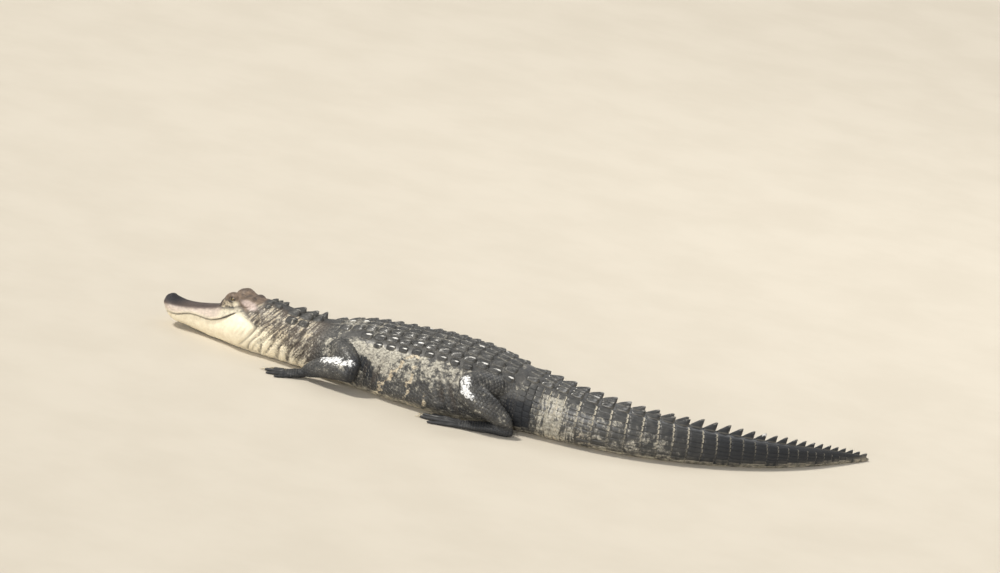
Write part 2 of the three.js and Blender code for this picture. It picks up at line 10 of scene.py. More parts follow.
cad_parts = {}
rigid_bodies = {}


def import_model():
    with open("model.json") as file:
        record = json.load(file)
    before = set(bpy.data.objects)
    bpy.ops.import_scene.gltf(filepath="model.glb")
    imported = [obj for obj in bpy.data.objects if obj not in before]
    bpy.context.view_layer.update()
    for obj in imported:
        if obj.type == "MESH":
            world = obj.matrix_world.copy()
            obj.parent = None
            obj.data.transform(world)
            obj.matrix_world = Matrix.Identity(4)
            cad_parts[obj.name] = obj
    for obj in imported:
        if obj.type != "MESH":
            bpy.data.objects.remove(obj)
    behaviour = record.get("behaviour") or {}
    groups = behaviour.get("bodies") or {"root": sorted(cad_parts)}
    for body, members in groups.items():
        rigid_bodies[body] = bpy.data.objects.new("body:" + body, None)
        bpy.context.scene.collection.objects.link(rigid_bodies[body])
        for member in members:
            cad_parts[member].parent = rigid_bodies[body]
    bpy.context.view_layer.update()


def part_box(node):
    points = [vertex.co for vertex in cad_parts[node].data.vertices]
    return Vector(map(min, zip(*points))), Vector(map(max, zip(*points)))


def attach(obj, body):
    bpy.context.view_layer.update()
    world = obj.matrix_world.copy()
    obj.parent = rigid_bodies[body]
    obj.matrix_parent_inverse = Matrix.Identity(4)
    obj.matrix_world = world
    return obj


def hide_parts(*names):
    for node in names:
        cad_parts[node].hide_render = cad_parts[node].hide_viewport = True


# A still, life-size American alligator. The sizes below are millimetres, as in the solids, and the finished
# pieces are metres. A station is a distance along the spine from the tip of the snout. A turn is the share of
# the way round the body, from 0 at the middle of the back to 1 at the middle of the belly.

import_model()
bpy.ops.object.select_all(action="DESELECT")

# Sizes that the solids share
TOTAL = 2180.0
TRUNK_END = 1100.0
MOUTH_CORNER = 238.0
LIP_OVERHANG = 5.0
NOSE_OVERHANG = 9.0
# station and the heading of the spine there, in degrees
HEADINGS = [
    (0, -5), (280, -5), (520, 0), (1000, 0), (1200, 4), (1460, 26), (1750, 46), (2030, 61), (2180, 62),
]
# the station that the spine is laid out from
SPINE_ANCHOR = 600
# station, half width, top, height of the widest point, bottom, roundness above and below
SECTIONS = [
    (0, 15, 71, 50, 35, 2.2, 2.2), (4, 27, 75, 49, 29, 2.3, 2.3), (12, 38, 76, 47, 23, 2.4, 2.4),
    (25, 46, 75, 46, 17, 2.5, 2.4), (45, 50, 72, 48, 12, 2.5, 2.5), (77, 49, 75, 54, 9, 2.5, 2.5),
    (105, 51, 81, 56, 5, 2.5, 2.5), (132, 55, 88, 56, 3, 2.4, 2.5), (160, 60, 97, 57, 1, 2.2, 2.5),
    (185, 65, 109, 59, 0, 2.1, 2.4), (205, 69, 121, 61, -1, 2.0, 2.4), (230, 74, 131, 61, -2, 2.0, 2.4),
    (258, 78, 138, 61, -2, 2.05, 2.4), (283, 78, 147, 62, -3, 2.1, 2.4), (330, 75, 149, 62, -3, 2.1, 2.4),
    (390, 78, 142, 62, -2, 2.1, 2.4), (450, 84, 139, 60, -2, 2.1, 2.4), (500, 95, 145, 59, -3, 2.1, 2.5),
    (560, 108, 159, 59, -5, 2.15, 2.6), (640, 122, 176, 60, -8, 2.2, 2.7), (740, 136, 184, 60, -10, 2.2, 2.8),
    (850, 142, 192, 60, -10, 2.2, 2.8), (940, 134, 192, 60, -9, 2.2, 2.7), (1020, 112, 184, 62, -6, 2.2, 2.5),
    (1100, 92, 170, 64, -4, 2.2, 2.4), (1190, 83, 153, 62, -3, 2.3, 2.3), (1320, 71, 132, 56, -3, 2.4, 2.3),
    (1480, 54, 112, 48, -3, 2.4, 2.3), (1640, 39, 93, 40, -2, 2.3, 2.3), (1800, 27, 73, 32, -2, 2.2, 2.3),
    (1965, 17, 51, 22, -2, 2.1, 2.3), (2095, 9.5, 30, 13, -2, 2, 2.2), (2165, 5, 15, 6, -1.5, 2, 2),
    (2180, 2.5, 8, 4, 0, 2, 2),
]
# station and the height where the upper and lower halves of a section meet: the mouth, then the flank
PARTING = [
    (0, 44), (8, 42), (32, 41), (50, 42), (72, 49), (96, 56), (120, 58), (142, 58), (165, 61), (188, 69),
    (212, 82), (232, 96), (246, 102), (268, 102), (290, 96), (360, 72), (420, 62), (560, 59), (1100, 64),
    (1320, 56), (1480, 48), (1640, 40), (1800, 32), (1965, 22), (2095, 13), (2165, 6), (2180, 4),
]
SKULL = {"start": 226, "end": 274, "half": 40, "raised": 11}
NOSE = {"station": 19, "raised": 7.5, "length": 13, "half": 20}
EYE = {"station": 219, "side": 40, "height": 135, "radius": 14}

# The brow over each eye and the one before it, each a centre and radii, and how high the snout climbs to them
BROWS = [((220, 33, 129.5), (30, 17, 21)), ((208, 26, 109), (32, 21, 19))]
BROW_CLIMB = 14
BROW_BLEND = 17
# The lids and their opening, from the middle of the eye, and the bed that the globe lies in
LID_RADII = (17.5, 15.9, 15.6)
LID_BLEND = 2.5
LID_OPENING = (0, 17, -1.2)
OPENING_RADII = (12.8, 9.5, 5.2)
GLOBE_BED = 13.2

# How far the skin lies inside the solids, to leave room for the scales, and above the floor
SKIN_DEPTH = 1.0
FLOOR_GAP = 0.8
# About half way up the body, where its sides lean neither in nor out
MIDDLE = 60
# Points round half a section, above and below the parting
UPPER_COUNT = 42
LOWER_COUNT = 27


def follow(table, station, column=1):
    """The smooth curve of the solids through rows of station and values, which never overshoots them."""
    rows = np.asarray(table, float)
    x, y = rows[:, 0], rows[:, column]
    slope = np.diff(y) / np.diff(x)
    turns = slope[:-1] * slope[1:]
    total = slope[:-1] + slope[1:]
    tangent = np.zeros(len(x))
    tangent[1:-1] = np.where(turns > 0, 2 * turns / np.where(total == 0, 1, total), 0)
    s = np.clip(station, x[0], x[-1])
    i = np.clip(np.searchsorted(x, s, side="right") - 1, 0, len(x) - 2)
    span = x[i + 1] - x[i]
    t = (s - x[i]) / span
    blend = t * t * (3 - 2 * t)
    curve = span * (tangent[i] * t * (1 - t) ** 2 - tangent[i + 1] * t * t * (1 - t))
    return y[i] * (1 - blend) + y[i + 1] * blend + curve


def step(low, high, value):
    """0 at low and 1 at high with a smooth rise between, also where low is the greater."""
    t = np.clip((np.asarray(value, float) - low) / (high - low), 0, 1)
    return t * t * (3 - 2 * t)


def hill(distance, width):
    """1 where the distance is 0, and falling off smoothly on both sides."""
    return np.exp(-((np.asarray(distance, float) / width) ** 2))


def spine_line():
    """Stations of the spine with their x, y and heading."""
    pace = 5.0
    beyond = 50
    stations = np.arange(0, TOTAL + pace / 2, pace)
    middle = np.radians(follow(HEADINGS, stations[1:] - pace / 2))
    x = np.concatenate([[0], np.cumsum(pace * np.cos(middle))])
    y = np.concatenate([[0], np.cumsum(pace * np.sin(middle))])
    anchor = int(SPINE_ANCHOR / pace)
    x += SPINE_ANCHOR - x[anchor]
    y -= y[anchor]
    heading = np.radians(follow(HEADINGS, stations))
    # carried on a little before the snout and past the tail
    first, last = heading[0], heading[-1]
    ahead = [-beyond, x[0] - beyond * math.cos(first), y[0] - beyond * math.sin(first), first]
    after = [TOTAL + beyond, x[-1] + beyond * math.cos(last), y[-1] + beyond * math.sin(last), last]
    return np.vstack([ahead, np.column_stack([stations, x, y, heading]), after])


SPINE = spine_line()


def place(station, side, height):
    """A point beside the spine: how far to the animal's right, and how high."""
    x, y, heading = (np.interp(station, SPINE[:, 0], SPINE[:, c]) for c in (1, 2, 3))
    return np.stack(
        np.broadcast_arrays(x - side * np.sin(heading), y + side * np.cos(heading), height), axis=-1
    )


# The solids put their origin under the middle of the animal. The left eye says where that is.
eye_low, eye_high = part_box("eye_left")
eye_middle = (np.array(eye_low) + np.array(eye_high)) / 2
SHIFT = eye_middle * 1000 - place(EYE["station"], -EYE["side"], EYE["height"])
SHIFT[2] = 0


def metres(points):
    """From the millimetres of this script to the metres of the solids' frame."""
    return (np.asarray(points, float) + SHIFT) / 1000


# Camera and light

# The camera's turn, rise and roll in degrees, and its distance in metres
VIEW_ANGLES = (19, 15, 10.6)
VIEW_DISTANCE = 15.0
SENSOR = 36
PHOTO_SIZE = (1000, 573)
PIXELS_PER_METRE = 365.0
# A point of the back, and the pixel of the photograph where it shows
AIM_POINT = (700, 0, 170)
AIM_PIXEL = (399, 330)
LIGHT_REACH = 5


def set_camera():
    """A long lens at the photograph's angle, framed so that one point of the back falls on its pixel."""
    azimuth, elevation, roll = (math.radians(a) for a in VIEW_ANGLES)
    sin_turn, cos_turn = math.sin(azimuth), math.cos(azimuth)
    sin_rise, cos_rise = math.sin(elevation), math.cos(elevation)
    right = Vector((cos_turn, sin_turn, 0))
    up = Vector((-sin_turn * sin_rise, cos_turn * sin_rise, cos_rise))
    back = Vector((sin_turn * cos_rise, -cos_turn * cos_rise, sin_rise))
    rolled_right = right * math.cos(roll) + up * math.sin(roll)
    rolled_up = up * math.cos(roll) - right * math.sin(roll)
    aim = Vector(metres(AIM_POINT))
    across, down = (full / 2 - pixel for full, pixel in zip(PHOTO_SIZE, AIM_PIXEL))
    aim += rolled_right * (across / PIXELS_PER_METRE) - rolled_up * (down / PIXELS_PER_METRE)
    data = bpy.data.cameras.new("camera")
    data.sensor_width = SENSOR
    data.lens = VIEW_DISTANCE * SENSOR / (PHOTO_SIZE[0] / PIXELS_PER_METRE)
    data.clip_end = 100
    camera = bpy.data.objects.new("camera", data)
    matrix = Matrix((rolled_right, rolled_up, back)).transposed().to_4x4()
    matrix.translation = aim + back * VIEW_DISTANCE
    camera.matrix_world = matrix
    bpy.context.collection.objects.link(camera)
    bpy.context.scene.camera = camera


def add_light(kind, name, way, strength, soft, colour):
    """A light along a direction: a sun as many degrees wide as soft says, or a panel as many metres wide."""
    data = bpy.data.lights.new(name, kind)
    data.energy = strength
    data.color = colour
    if kind == "SUN":
        data.angle = math.radians(soft)
    else:
        data.shape = "DISK"
        data.size = soft
    light = bpy.data.objects.new(name, data)
    light.location = -LIGHT_REACH * Vector(way).normalized()
    light.rotation_euler = Vector(way).to_track_quat("-Z", "Y").to_euler()
    bpy.context.collection.objects.link(light)


def set_light():
    """A high warm light, a low one from the camera's side, a panel behind and an even surround."""
    add_light("SUN", "key", (0.56, 0.24, -0.90), 3.1, 8, (1.0, 0.955, 0.865))
    add_light("SUN", "fill", (-0.10, 0.90, -0.28), 1.91, 33, (1.0, 0.985, 0.96))
    add_light("AREA", "back", (-0.22, -0.62, -0.75), 45, 2.4, (1.0, 1.0, 1.0))
    world = bpy.data.worlds.new("studio")
    world.use_nodes = True
    surround = world.node_tree.nodes["Background"].inputs
    surround["Color"].default_value = (0.89, 0.89, 0.89, 1)
    surround["Strength"].default_value = 0.46
    bpy.context.scene.world = world
    bpy.context.scene.view_settings.view_transform = "Standard"


# Materials

# The two shades that each colour varies between
SHADES = {
    "dark": ((0.024, 0.025, 0.026), (0.058, 0.057, 0.054)),
    "grey": ((0.17, 0.160, 0.138), (0.46, 0.435, 0.365)),
    "sand": ((0.27, 0.21, 0.14), (0.57, 0.50, 0.37)),
    "umber": ((0.060, 0.042, 0.032), (0.21, 0.150, 0.105)),
    "plum": ((0.048, 0.033, 0.028), (0.078, 0.054, 0.046)),
    "cream": ((0.87, 0.80, 0.62), (0.76, 0.67, 0.50)),
    "lilac": ((0.34, 0.265, 0.235), (0.50, 0.40, 0.355)),
    "iris": ((0.085, 0.055, 0.018), (0.21, 0.145, 0.05)),
    "claw": ((0.10, 0.085, 0.06), (0.55, 0.48, 0.34)),
    "tooth": ((0.44, 0.38, 0.27), (0.60, 0.53, 0.39)),
    "floor": ((0.53, 0.485, 0.41), (0.56, 0.515, 0.44)),
}
NECK_BROWN = (0.078, 0.060, 0.046)
SHADE_BLACK = (0.010, 0.012, 0.016)
NOSE_BLACK = (0.012, 0.011, 0.016)
PAINTED_CREASE_SHADE = (0.040, 0.031, 0.025)
PAINTED_HIGHLIGHT_WHITE = (0.80, 0.81, 0.82)
RIM_BONE = (0.76, 0.70, 0.56)
HORN_BLACK = (0.012, 0.012, 0.013)
HORN_WORN_AND_HIGHLIGHT = (0.30, 0.29, 0.265)
HORN_PAINTED_HIGHLIGHT = (0.80, 0.79, 0.76)
SEAM_BROWN = (0.14, 0.105, 0.075)
IRIS_EDGE = (0.03, 0.022, 0.012)
PUPIL_BLACK = (0.003, 0.003, 0.003)
# The stretch of a noise over which one shade gives way to the other
SPREAD = (0.3, 0.7)
# How strongly the markings show on horn, where they show in full on skin
HORN_DIM = 0.6


class Value:
    """A socket of a material, so that shading reads as plain sums."""

    def __init__(self, finish, socket):
        self.finish = finish
        self.socket = socket

    def maths(self, operation, *others, clamp=False):
        inputs = dict(enumerate((self, *others)))
        return self.finish.node("Math", {"operation": operation, "use_clamp": clamp}, inputs)

    def __add__(self, other):
        return self.maths("ADD", other)

    def __radd__(self, other):
        return self.maths("ADD", other)

    def __sub__(self, other):
        return self.maths("SUBTRACT", other)

    def __rsub__(self, other):
        return self.finish.node("Math", {"operation": "SUBTRACT"}, {0: other, 1: self})

    def __mul__(self, other):
        return self.maths("MULTIPLY", other)

    def __rmul__(self, other):
        return self.maths("MULTIPLY", other)

    def __pow__(self, other):
        return self.maths("POWER", other)

    def within(self):
        """The same value, held between 0 and 1."""
        return self.maths("ADD", 0.0, clamp=True)

    def rises(self, low, high):
        """0 below low and 1 above high, or the other way round where low is the greater."""
        settings = {"interpolation_type": "SMOOTHSTEP"}
        return self.finish.node("MapRange", settings, {"Value": self, "From Min": low, "From Max": high})


class Finish:
    """One material, and the one way to add a node to it."""

    def __init__(self, name):
        self.material = bpy.data.materials.new(name)
        self.material.use_nodes = True
        self.tree = self.material.node_tree
        self.tree.nodes.clear()

    def node(self, kind, settings=None, inputs=None, output=0):
        made = self.tree.nodes.new("ShaderNode" + kind)
        for key, value in (settings or {}).items():
            setattr(made, key, value)
        for key, value in (inputs or {}).items():
            if isinstance(value, Value):
                self.tree.links.new(value.socket, made.inputs[key])
            elif isinstance(value, tuple) and len(value) == 3 and made.inputs[key].type == "RGBA":
                made.inputs[key].default_value = (*value, 1)
            else:
                made.inputs[key].default_value = value
        return Value(self, made.outputs[output]) if len(made.outputs) else None

    def attribute(self, name):
        return self.node("Attribute", {"attribute_name": name}, output="Fac")

    def spot(self):
        return self.node("TexCoord", output="Object")

    def noise(self, scale, detail=3.0, rough=0.55, stretch=None):
        where = self.spot()
        if stretch:
            where = self.node("Mapping", None, {"Vector": where, "Scale": stretch})
        inputs = {"Vector": where, "Scale": scale, "Detail": detail, "Roughness": rough}
        return self.node("TexNoise", None, inputs)

    def cells(self, scale, feature="F1"):
        return self.node("TexVoronoi", {"feature": feature}, {"Vector": self.spot(), "Scale": scale})

    def mix(self, share, first, second):
        settings = {"data_type": "RGBA", "clamp_factor": True}
        return self.node("Mix", settings, {0: share, 6: first, 7: second}, output=2)

    def shade(self, name, noise, low=SPREAD[0], high=SPREAD[1]):
        """A colour that goes from its first shade to its second with a noise."""
        return self.mix(noise.rises(low, high), *SHADES[name])

    def bump(self, height, strength, distance, below=None):
        inputs = {"Height": height, "Strength": strength, "Distance": distance}
        if below is not None:
            inputs["Normal"] = below
        return self.node("Bump", None, inputs)

    def close(self, **sockets):
        """Ends the material with its shader. A socket's name is written with underscores."""
        inputs = {key.replace("_", " "): value for key, value in sockets.items()}
        shader = self.node("BsdfPrincipled", None, inputs)
        self.node("OutputMaterial", None, {"Surface": shader})
        return self.material


def hide_colour(finish, dim=1.0):
    """The animal's markings, alike on the skin and on the scales, with painted shade and painted highlights.
    Returns colour, fine noise and mottle.
    """
    pale, tan, mauve, brown, flank, painted_crease_shade = (
        finish.attribute(n) for n in ("pale", "tan", "mauve", "brown", "flank", "painted_crease_shade")
    )
    black_and_painted_shade, streaky, lane, vary, painted_highlight_and_gloss, lilac = (
        finish.attribute(n) for n in ("black_and_painted_shade", "streaky", "lane", "vary", "painted_highlight_and_gloss", "lilac")
    )
    coarse = finish.noise(12.0)
    medium = finish.noise(56.0, 4.0, 0.6)
    fine = finish.noise(170.0, 3.0, 0.65)
    # streaks that run up the neck and the root of the tail, along the folds
    rise = finish.node("SeparateXYZ", None, {0: finish.spot()}, output=2)
    ways = finish.node("CombineXYZ", None, {0: lane * 150.0, 1: rise * 34.0})
    streak = finish.node("TexNoise", None, {"Vector": ways, "Scale": 1.0, "Detail": 3.0, "Roughness": 0.6})
    mottle = (coarse - 0.5) * 0.40 + (medium - 0.5) * 1.3 + (fine - 0.5) * 0.6 + (vary - 0.5) * 0.24
    mottle = mottle * (1 - streaky * 0.6) + (streak - 0.5) * 2.4 * streaky
    # the dark of the hide, browner on the neck, and the grey, the black with its painted shade, and the tan
    # that lie on it
    dark = finish.shade("dark", medium)
    dark = finish.mix(streaky * lane.rises(0.58, 0.46) * (dim * 2 - 1.1), dark, NECK_BROWN)
    share = (mottle * 1.25 + flank * 1.1 * dim - 0.62).rises(-0.05, 0.42)
    colour = finish.mix(share, dark, finish.shade("grey", fine))
    # nearly black places, among them painted shade at the elbows, in the nooks by the legs and over the end
    # of the tail
    colour = finish.mix(black_and_painted_shade, colour, SHADE_BLACK)
    share = (mottle + tan * 1.2 * dim - 0.72).rises(0.0, 0.36)
    colour = finish.mix(share, colour, finish.shade("sand", fine))
    # the head: umber behind the eyes, the plum snout with its nearly black nose, the cream underside
    colour = finish.mix(brown, colour, finish.shade("umber", medium))
    plum = finish.mix(black_and_painted_shade, finish.shade("plum", coarse, 0.35, 0.65), NOSE_BLACK)
    colour = finish.mix((mauve + (medium - 0.5) * 0.4 * mauve).within(), colour, plum)
    share = pale + mottle * pale * (1 - pale) * 5.0
    colour = finish.mix(share.within(), colour, finish.shade("cream", medium, 0.28, 0.75))
    tint = lilac * (0.95 + (medium - 0.5) * 0.6)
    colour = finish.mix(tint.within(), colour, finish.shade("lilac", fine))
    # painted shade in the bottoms of the folds and along the line of the mouth
    colour = finish.mix((painted_crease_shade * (1.15 - medium * 0.6)).within(), colour, PAINTED_CREASE_SHADE)
    # painted highlight: near-white patches standing for the glints of wet skin on the forearms and the knees
    painted_highlight_share = (painted_highlight_and_gloss + (fine - 0.5) * 3.0 + (medium - 0.5) * 1.8 - 0.58).rises(0.0, 0.26)
    colour = finish.mix(painted_highlight_share * painted_highlight_and_gloss.rises(0.02, 0.2) * 0.82, colour, PAINTED_HIGHLIGHT_WHITE)
    return colour, fine, mottle


def hide_finish(name, grain=0.0006, keel=0.0, plates=False):
    """Skin with low scales drawn in its surface where plates is set, and horn where keel is above 0."""
    finish = Finish(name)
    colour, fine, mottle = hide_colour(finish, HORN_DIM if keel else 1.0)
    rim, top, wet, vary = (finish.attribute(n) for n in ("rim", "top", "wet", "vary"))
    colour = finish.mix((rim * 1.25 + mottle * 0.9 * rim).within(), colour, RIM_BONE)
    if keel:
        # the field round the keel holds the dark, and the keel is lighter where it is worn and where a
        # highlight is painted on it
        colour = finish.mix(top.rises(0.5, 0.1) * 0.32, colour, HORN_BLACK)
        worn_and_painted_highlight = (top + (fine - 0.5) * 1.3).rises(0.62, 1.0) * keel
        colour = finish.mix(worn_and_painted_highlight, colour, HORN_WORN_AND_HIGHLIGHT)
        # painted highlights, nearly white, on the tips of the outer keels, and here and there on an inner one
        highlighted_keels = (vary + finish.attribute("outer") * 0.68).rises(0.88, 1.0)
        tip = (top + (fine - 0.5) * 0.8).rises(0.52, 0.72) * highlighted_keels
        colour = finish.mix(tip * 0.9, colour, HORN_PAINTED_HIGHLIGHT)
    rough = (0.58 - wet * 0.26 + finish.attribute("black_and_painted_shade") * 0.16 + (fine - 0.5) * 0.4).within()
    cracks = finish.cells(300.0, "DISTANCE_TO_EDGE").rises(0.0, 0.12)
    normal = finish.bump(cracks * 0.4 + fine * 0.7, 0.6, grain)
    if keel:
        pits = finish.cells(190.0).rises(0.10, 0.42)
        normal = finish.bump(pits, 0.5, 0.0012, normal)
    if plates:
        seams = finish.cells(140.0, "DISTANCE_TO_EDGE").rises(0.0, 0.16)
        normal = finish.bump(seams, 0.22, 0.001, normal)
        colour = finish.mix((1 - seams) * 0.07, colour, SEAM_BROWN)
    return finish.close(
        Base_Color=colour,
        Roughness=rough,
        Normal=normal,
        Coat_Weight=(wet * 0.5).within(),
        Coat_Roughness=0.2,
    )


def plain_finish(name, shades, rough, scale, coat=0.0):
    """A finish of two shades with a fine grain, for claws, teeth and the floor."""
    finish = Finish(name)
    noise = finish.noise(scale, 4.0, 0.6)
    return finish.close(
        Base_Color=finish.shade(shades, noise),
        Roughness=(noise - 0.5) * 0.2 + rough,
        Normal=finish.bump(noise, 0.4, 0.0003),
        Coat_Weight=coat,
        Coat_Roughness=0.08,
    )


def eye_finish():
    """A dark golden iris round an upright slit."""
    finish = Finish("eye")
    across, upright, outward = (finish.attribute(n) for n in ("across", "upright", "outward"))
    radius = (across * across + upright * upright) ** 0.5
    slit = (across * across * 26.0 + upright * upright * 3.4) ** 0.5
    front = outward.rises(0.0, 0.2)
    streaks = finish.noise(420.0, 4.0, 0.7, (1.0, 1.0, 0.3))
    iris = finish.mix(radius.rises(0.42, 0.62), finish.shade("iris", streaks), IRIS_EDGE)
    colour = finish.mix(slit.rises(1.05, 0.92) * front, iris, PUPIL_BLACK)
    return finish.close(Base_Color=colour, Roughness=0.12, Coat_Weight=1.0, Coat_Roughness=0.03)


# Meshes


def vertex_array(piece):
    flat = np.empty(len(piece.data.vertices) * 3)
    piece.data.vertices.foreach_get("co", flat)
    return flat.reshape(-1, 3)


def set_vertices(piece, points):
    piece.data.vertices.foreach_set("co", np.ascontiguousarray(points, dtype=np.float32).ravel())
    piece.data.update()


def set_marks(mesh, marks):
    """Writes a value for each vertex under each mark's name, for the materials to read."""
    for name, values in marks.items():
        if name not in mesh.attributes:
            mesh.attributes.new(name, "FLOAT", "POINT")
        mesh.attributes[name].data.foreach_set("value", np.ascontiguousarray(values, dtype=np.float32))


def select_only(piece):
    bpy.ops.object.select_all(action="DESELECT")
    bpy.context.view_layer.objects.active = piece
    piece.select_set(True)


def edit(piece, mode="FACE"):
    select_only(piece)
    bpy.ops.object.mode_set(mode="EDIT")
    bpy.ops.mesh.select_mode(type=mode)


def remove(piece):
    mesh = piece.data
    bpy.data.objects.remove(piece)
    bpy.data.meshes.remove(mesh)


def piece_from_grid(name, rows, columns, points):
    """A grid primitive whose vertices are set row by row, rolled shut round its rows."""
    bpy.ops.object.select_all(action="DESELECT")
    bpy.ops.mesh.primitive_grid_add(x_subdivisions=columns, y_subdivisions=rows - 1, size=2)
    piece = bpy.context.object
    piece.name = name
    flat = vertex_array(piece)
    column = np.rint((flat[:, 0] + 1) / 2 * columns).astype(int) % columns
    row = np.rint((flat[:, 1] + 1) / 2 * (rows - 1)).astype(int)
    set_vertices(piece, points[row, column])
    return piece


def close_ends(piece, threshold):
    """Merges the rolled grid's doubles, closes its open ends and turns the faces outwards."""
    edit(piece, "VERT")
    bpy.ops.mesh.select_all(action="SELECT")
    bpy.ops.mesh.remove_doubles(threshold=threshold)
    bpy.ops.mesh.select_all(action="DESELECT")
    bpy.ops.mesh.select_non_manifold(extend=False)
    bpy.ops.mesh.edge_face_add()
    bpy.ops.mesh.poke()
    bpy.ops.mesh.select_all(action="SELECT")
    bpy.ops.mesh.normals_make_consistent(inside=False)
    bpy.ops.mesh.select_all(action="DESELECT")
    bpy.ops.object.mode_set(mode="OBJECT")


def unite(base, parts):
    """Joins the parts to the base as one closed skin."""
    group = bpy.data.collections.new("joining")
    bpy.context.scene.collection.children.link(group)
    for part in parts:
        for holder in list(part.users_collection):
            holder.objects.unlink(part)
        group.objects.link(part)
    union = base.modifiers.new("union", "BOOLEAN")
    union.operation = "UNION"
    union.operand_type = "COLLECTION"
    union.collection = group
    union.solver = "MANIFOLD"
    bpy.context.view_layer.objects.active = base
    bpy.ops.object.modifier_apply(modifier=union.name)
    for part in parts:
        remove(part)
    bpy.data.collections.remove(group)
    keep_largest(base)


def keep_largest(piece):
    """Keeps what hangs together with the highest point and deletes the crumbs that a union leaves."""
    highest = int(np.argmax(vertex_array(piece)[:, 2]))
    edit(piece, "VERT")
    bpy.ops.mesh.select_all(action="DESELECT")
    bpy.ops.object.mode_set(mode="OBJECT")
    piece.data.vertices[highest].select = True
    bpy.ops.object.mode_set(mode="EDIT")
    bpy.ops.mesh.select_linked()
    bpy.ops.mesh.select_all(action="INVERT")
    bpy.ops.mesh.delete(type="VERT")
    bpy.ops.object.mode_set(mode="OBJECT")


# The body's surface

# The rings that draw the blunt front of the snout together, as shares of its first section
CAP_SHARES = (0.0, 0.2, 0.42, 0.64, 0.84)
CAPS = len(CAP_SHARES)
# How far the search for the brow and the lids goes outwards, and its pace
RAY_LENGTH = 44
RAY_PACE = 0.4
HALF = UPPER_COUNT + 1 + 2 + LOWER_COUNT + 1
AROUND = 2 * HALF - 2


def crown(station, side):
    """What stands over the plain sections of the head: skull table, nose and the slope to the brow."""
    table = (
        step(SKULL["start"] - 8, SKULL["start"] + 6, station)
        * (1 - step(SKULL["end"] - 6, SKULL["end"] + 8, station))
        * (1 - step(SKULL["half"] - 5, SKULL["half"] + 5, np.abs(side)))
    )
    nose = hill(station - NOSE["station"], NOSE["length"]) * hill(side, NOSE["half"])
    climb = step(156, 212, station) * (1 - step(226, 242, station)) * hill(np.abs(side) - 27, 15)
    return SKULL["raised"] * table + NOSE["raised"] * nose + BROW_CLIMB * climb


def ellipsoid(point, centre, radii):
    """About how far a point is outside an ellipsoid."""
    away = (point - np.asarray(centre, float)) / np.asarray(radii, float)
    near = np.linalg.norm(away, axis=-1)
    steep = np.linalg.norm(away / np.asarray(radii, float), axis=-1)
    return near * (near - 1) / np.maximum(steep, 1e-6)


def blend_min(a, b, width):
    """The lesser of two distances, with a smooth turn from one to the other."""
    t = np.clip(0.5 + 0.5 * (b - a) / width, 0, 1)
    return b * (1 - t) + a * t - width * t * (1 - t)


def eye_turret(station, side, height):
    """Raises the brow and the lids from the right half of a section of the head, and sinks the opening."""
    point = np.column_stack([np.full(len(side), station), side, height])
    outward = np.column_stack([np.zeros(len(side)), side, height - MIDDLE])
    outward /= np.linalg.norm(outward, axis=1)[:, None]
    reach = np.arange(0, RAY_LENGTH, RAY_PACE)
    along = point[:, None, :] + outward[:, None, :] * reach[None, :, None]
    shape = np.broadcast_to(reach[None, :], along.shape[:2])
    for centre, radii in BROWS:
        shape = blend_min(shape, ellipsoid(along, centre, radii), BROW_BLEND)
    middle = np.array([EYE["station"], EYE["side"], EYE["height"]], float)
    shape = blend_min(shape, ellipsoid(along, middle, LID_RADII), LID_BLEND)
    opening = ellipsoid(along, middle + LID_OPENING, OPENING_RADII)
    globe = np.linalg.norm(along - middle, axis=-1) - GLOBE_BED
    shape = np.minimum(np.maximum(shape, -opening), globe)
    outside = shape > 0
    outside[:, -1] = True
    first = np.argmax(outside, axis=1)
    rows = np.arange(len(side))
    inner = shape[rows, np.maximum(first - 1, 0)]
    outer = shape[rows, first]
    share = np.where(first > 0, -inner / np.maximum(outer - inner, 1e-6), 0)
    distance = np.where(first > 0, (first - 1 + share) * RAY_PACE, 0)
    moved = point + outward * distance[:, None]
    return moved[:, 1], moved[:, 2]


def resample(side, height, count, weight):
    """Points spread evenly along a line, more closely where the weight is high."""
    gap = np.hypot(np.diff(side), np.diff(height))
    far = np.concatenate([[0], np.cumsum(gap * (weight[1:] + weight[:-1]) / 2)])
    wanted = np.linspace(0, far[-1], count + 1)
    return np.interp(wanted, far, side), np.interp(wanted, far, height)


def head_details(at, side, height, parting, jaws):
    """Shapes lip, nostril, eye and ear on the upper half, and says where its points lie more closely."""
    weight = np.ones(len(side))
    if at < 300:
        # the rounded edge of the upper lip, and the nostrils
        side = side + 1.3 * hill(height - parting - 5, 4.0) * step(4, 30, at) * (side > 8) * jaws
        nostril = ((at - 11) / 5.0) ** 2 + ((side - 9) / 4.2) ** 2
        height = height - 5.5 * hill(np.sqrt(nostril), 0.85) * (height > 60)
        lip = hill(np.sqrt(((at - 11) / 8.5) ** 2 + ((side - 9) / 7.5) ** 2) - 1, 0.35)
        height = height + 1.6 * lip * (height > 60)
    if 155 < at < 270:
        side, height = eye_turret(at, side, height)
        side[0] = 0
        near_eye = np.hypot(side - EYE["side"] - 10, height - EYE["height"])
        weight = 1 + 2.2 * hill(at - EYE["station"], 24) * hill(near_eye, 17)
    if 232 < at < 282:
        # the slit of the ear, under the edge of the skull table
        slit = step(236, 244, at) * (1 - step(266, 276, at)) * hill(side - 47.5, 2.0) * (height > 108)
        height = height - 5.0 * slit
        side = side - 2.0 * slit
        weight = weight + 1.5 * hill(side - 46, 8) * (height > 100)
    return side, height, weight


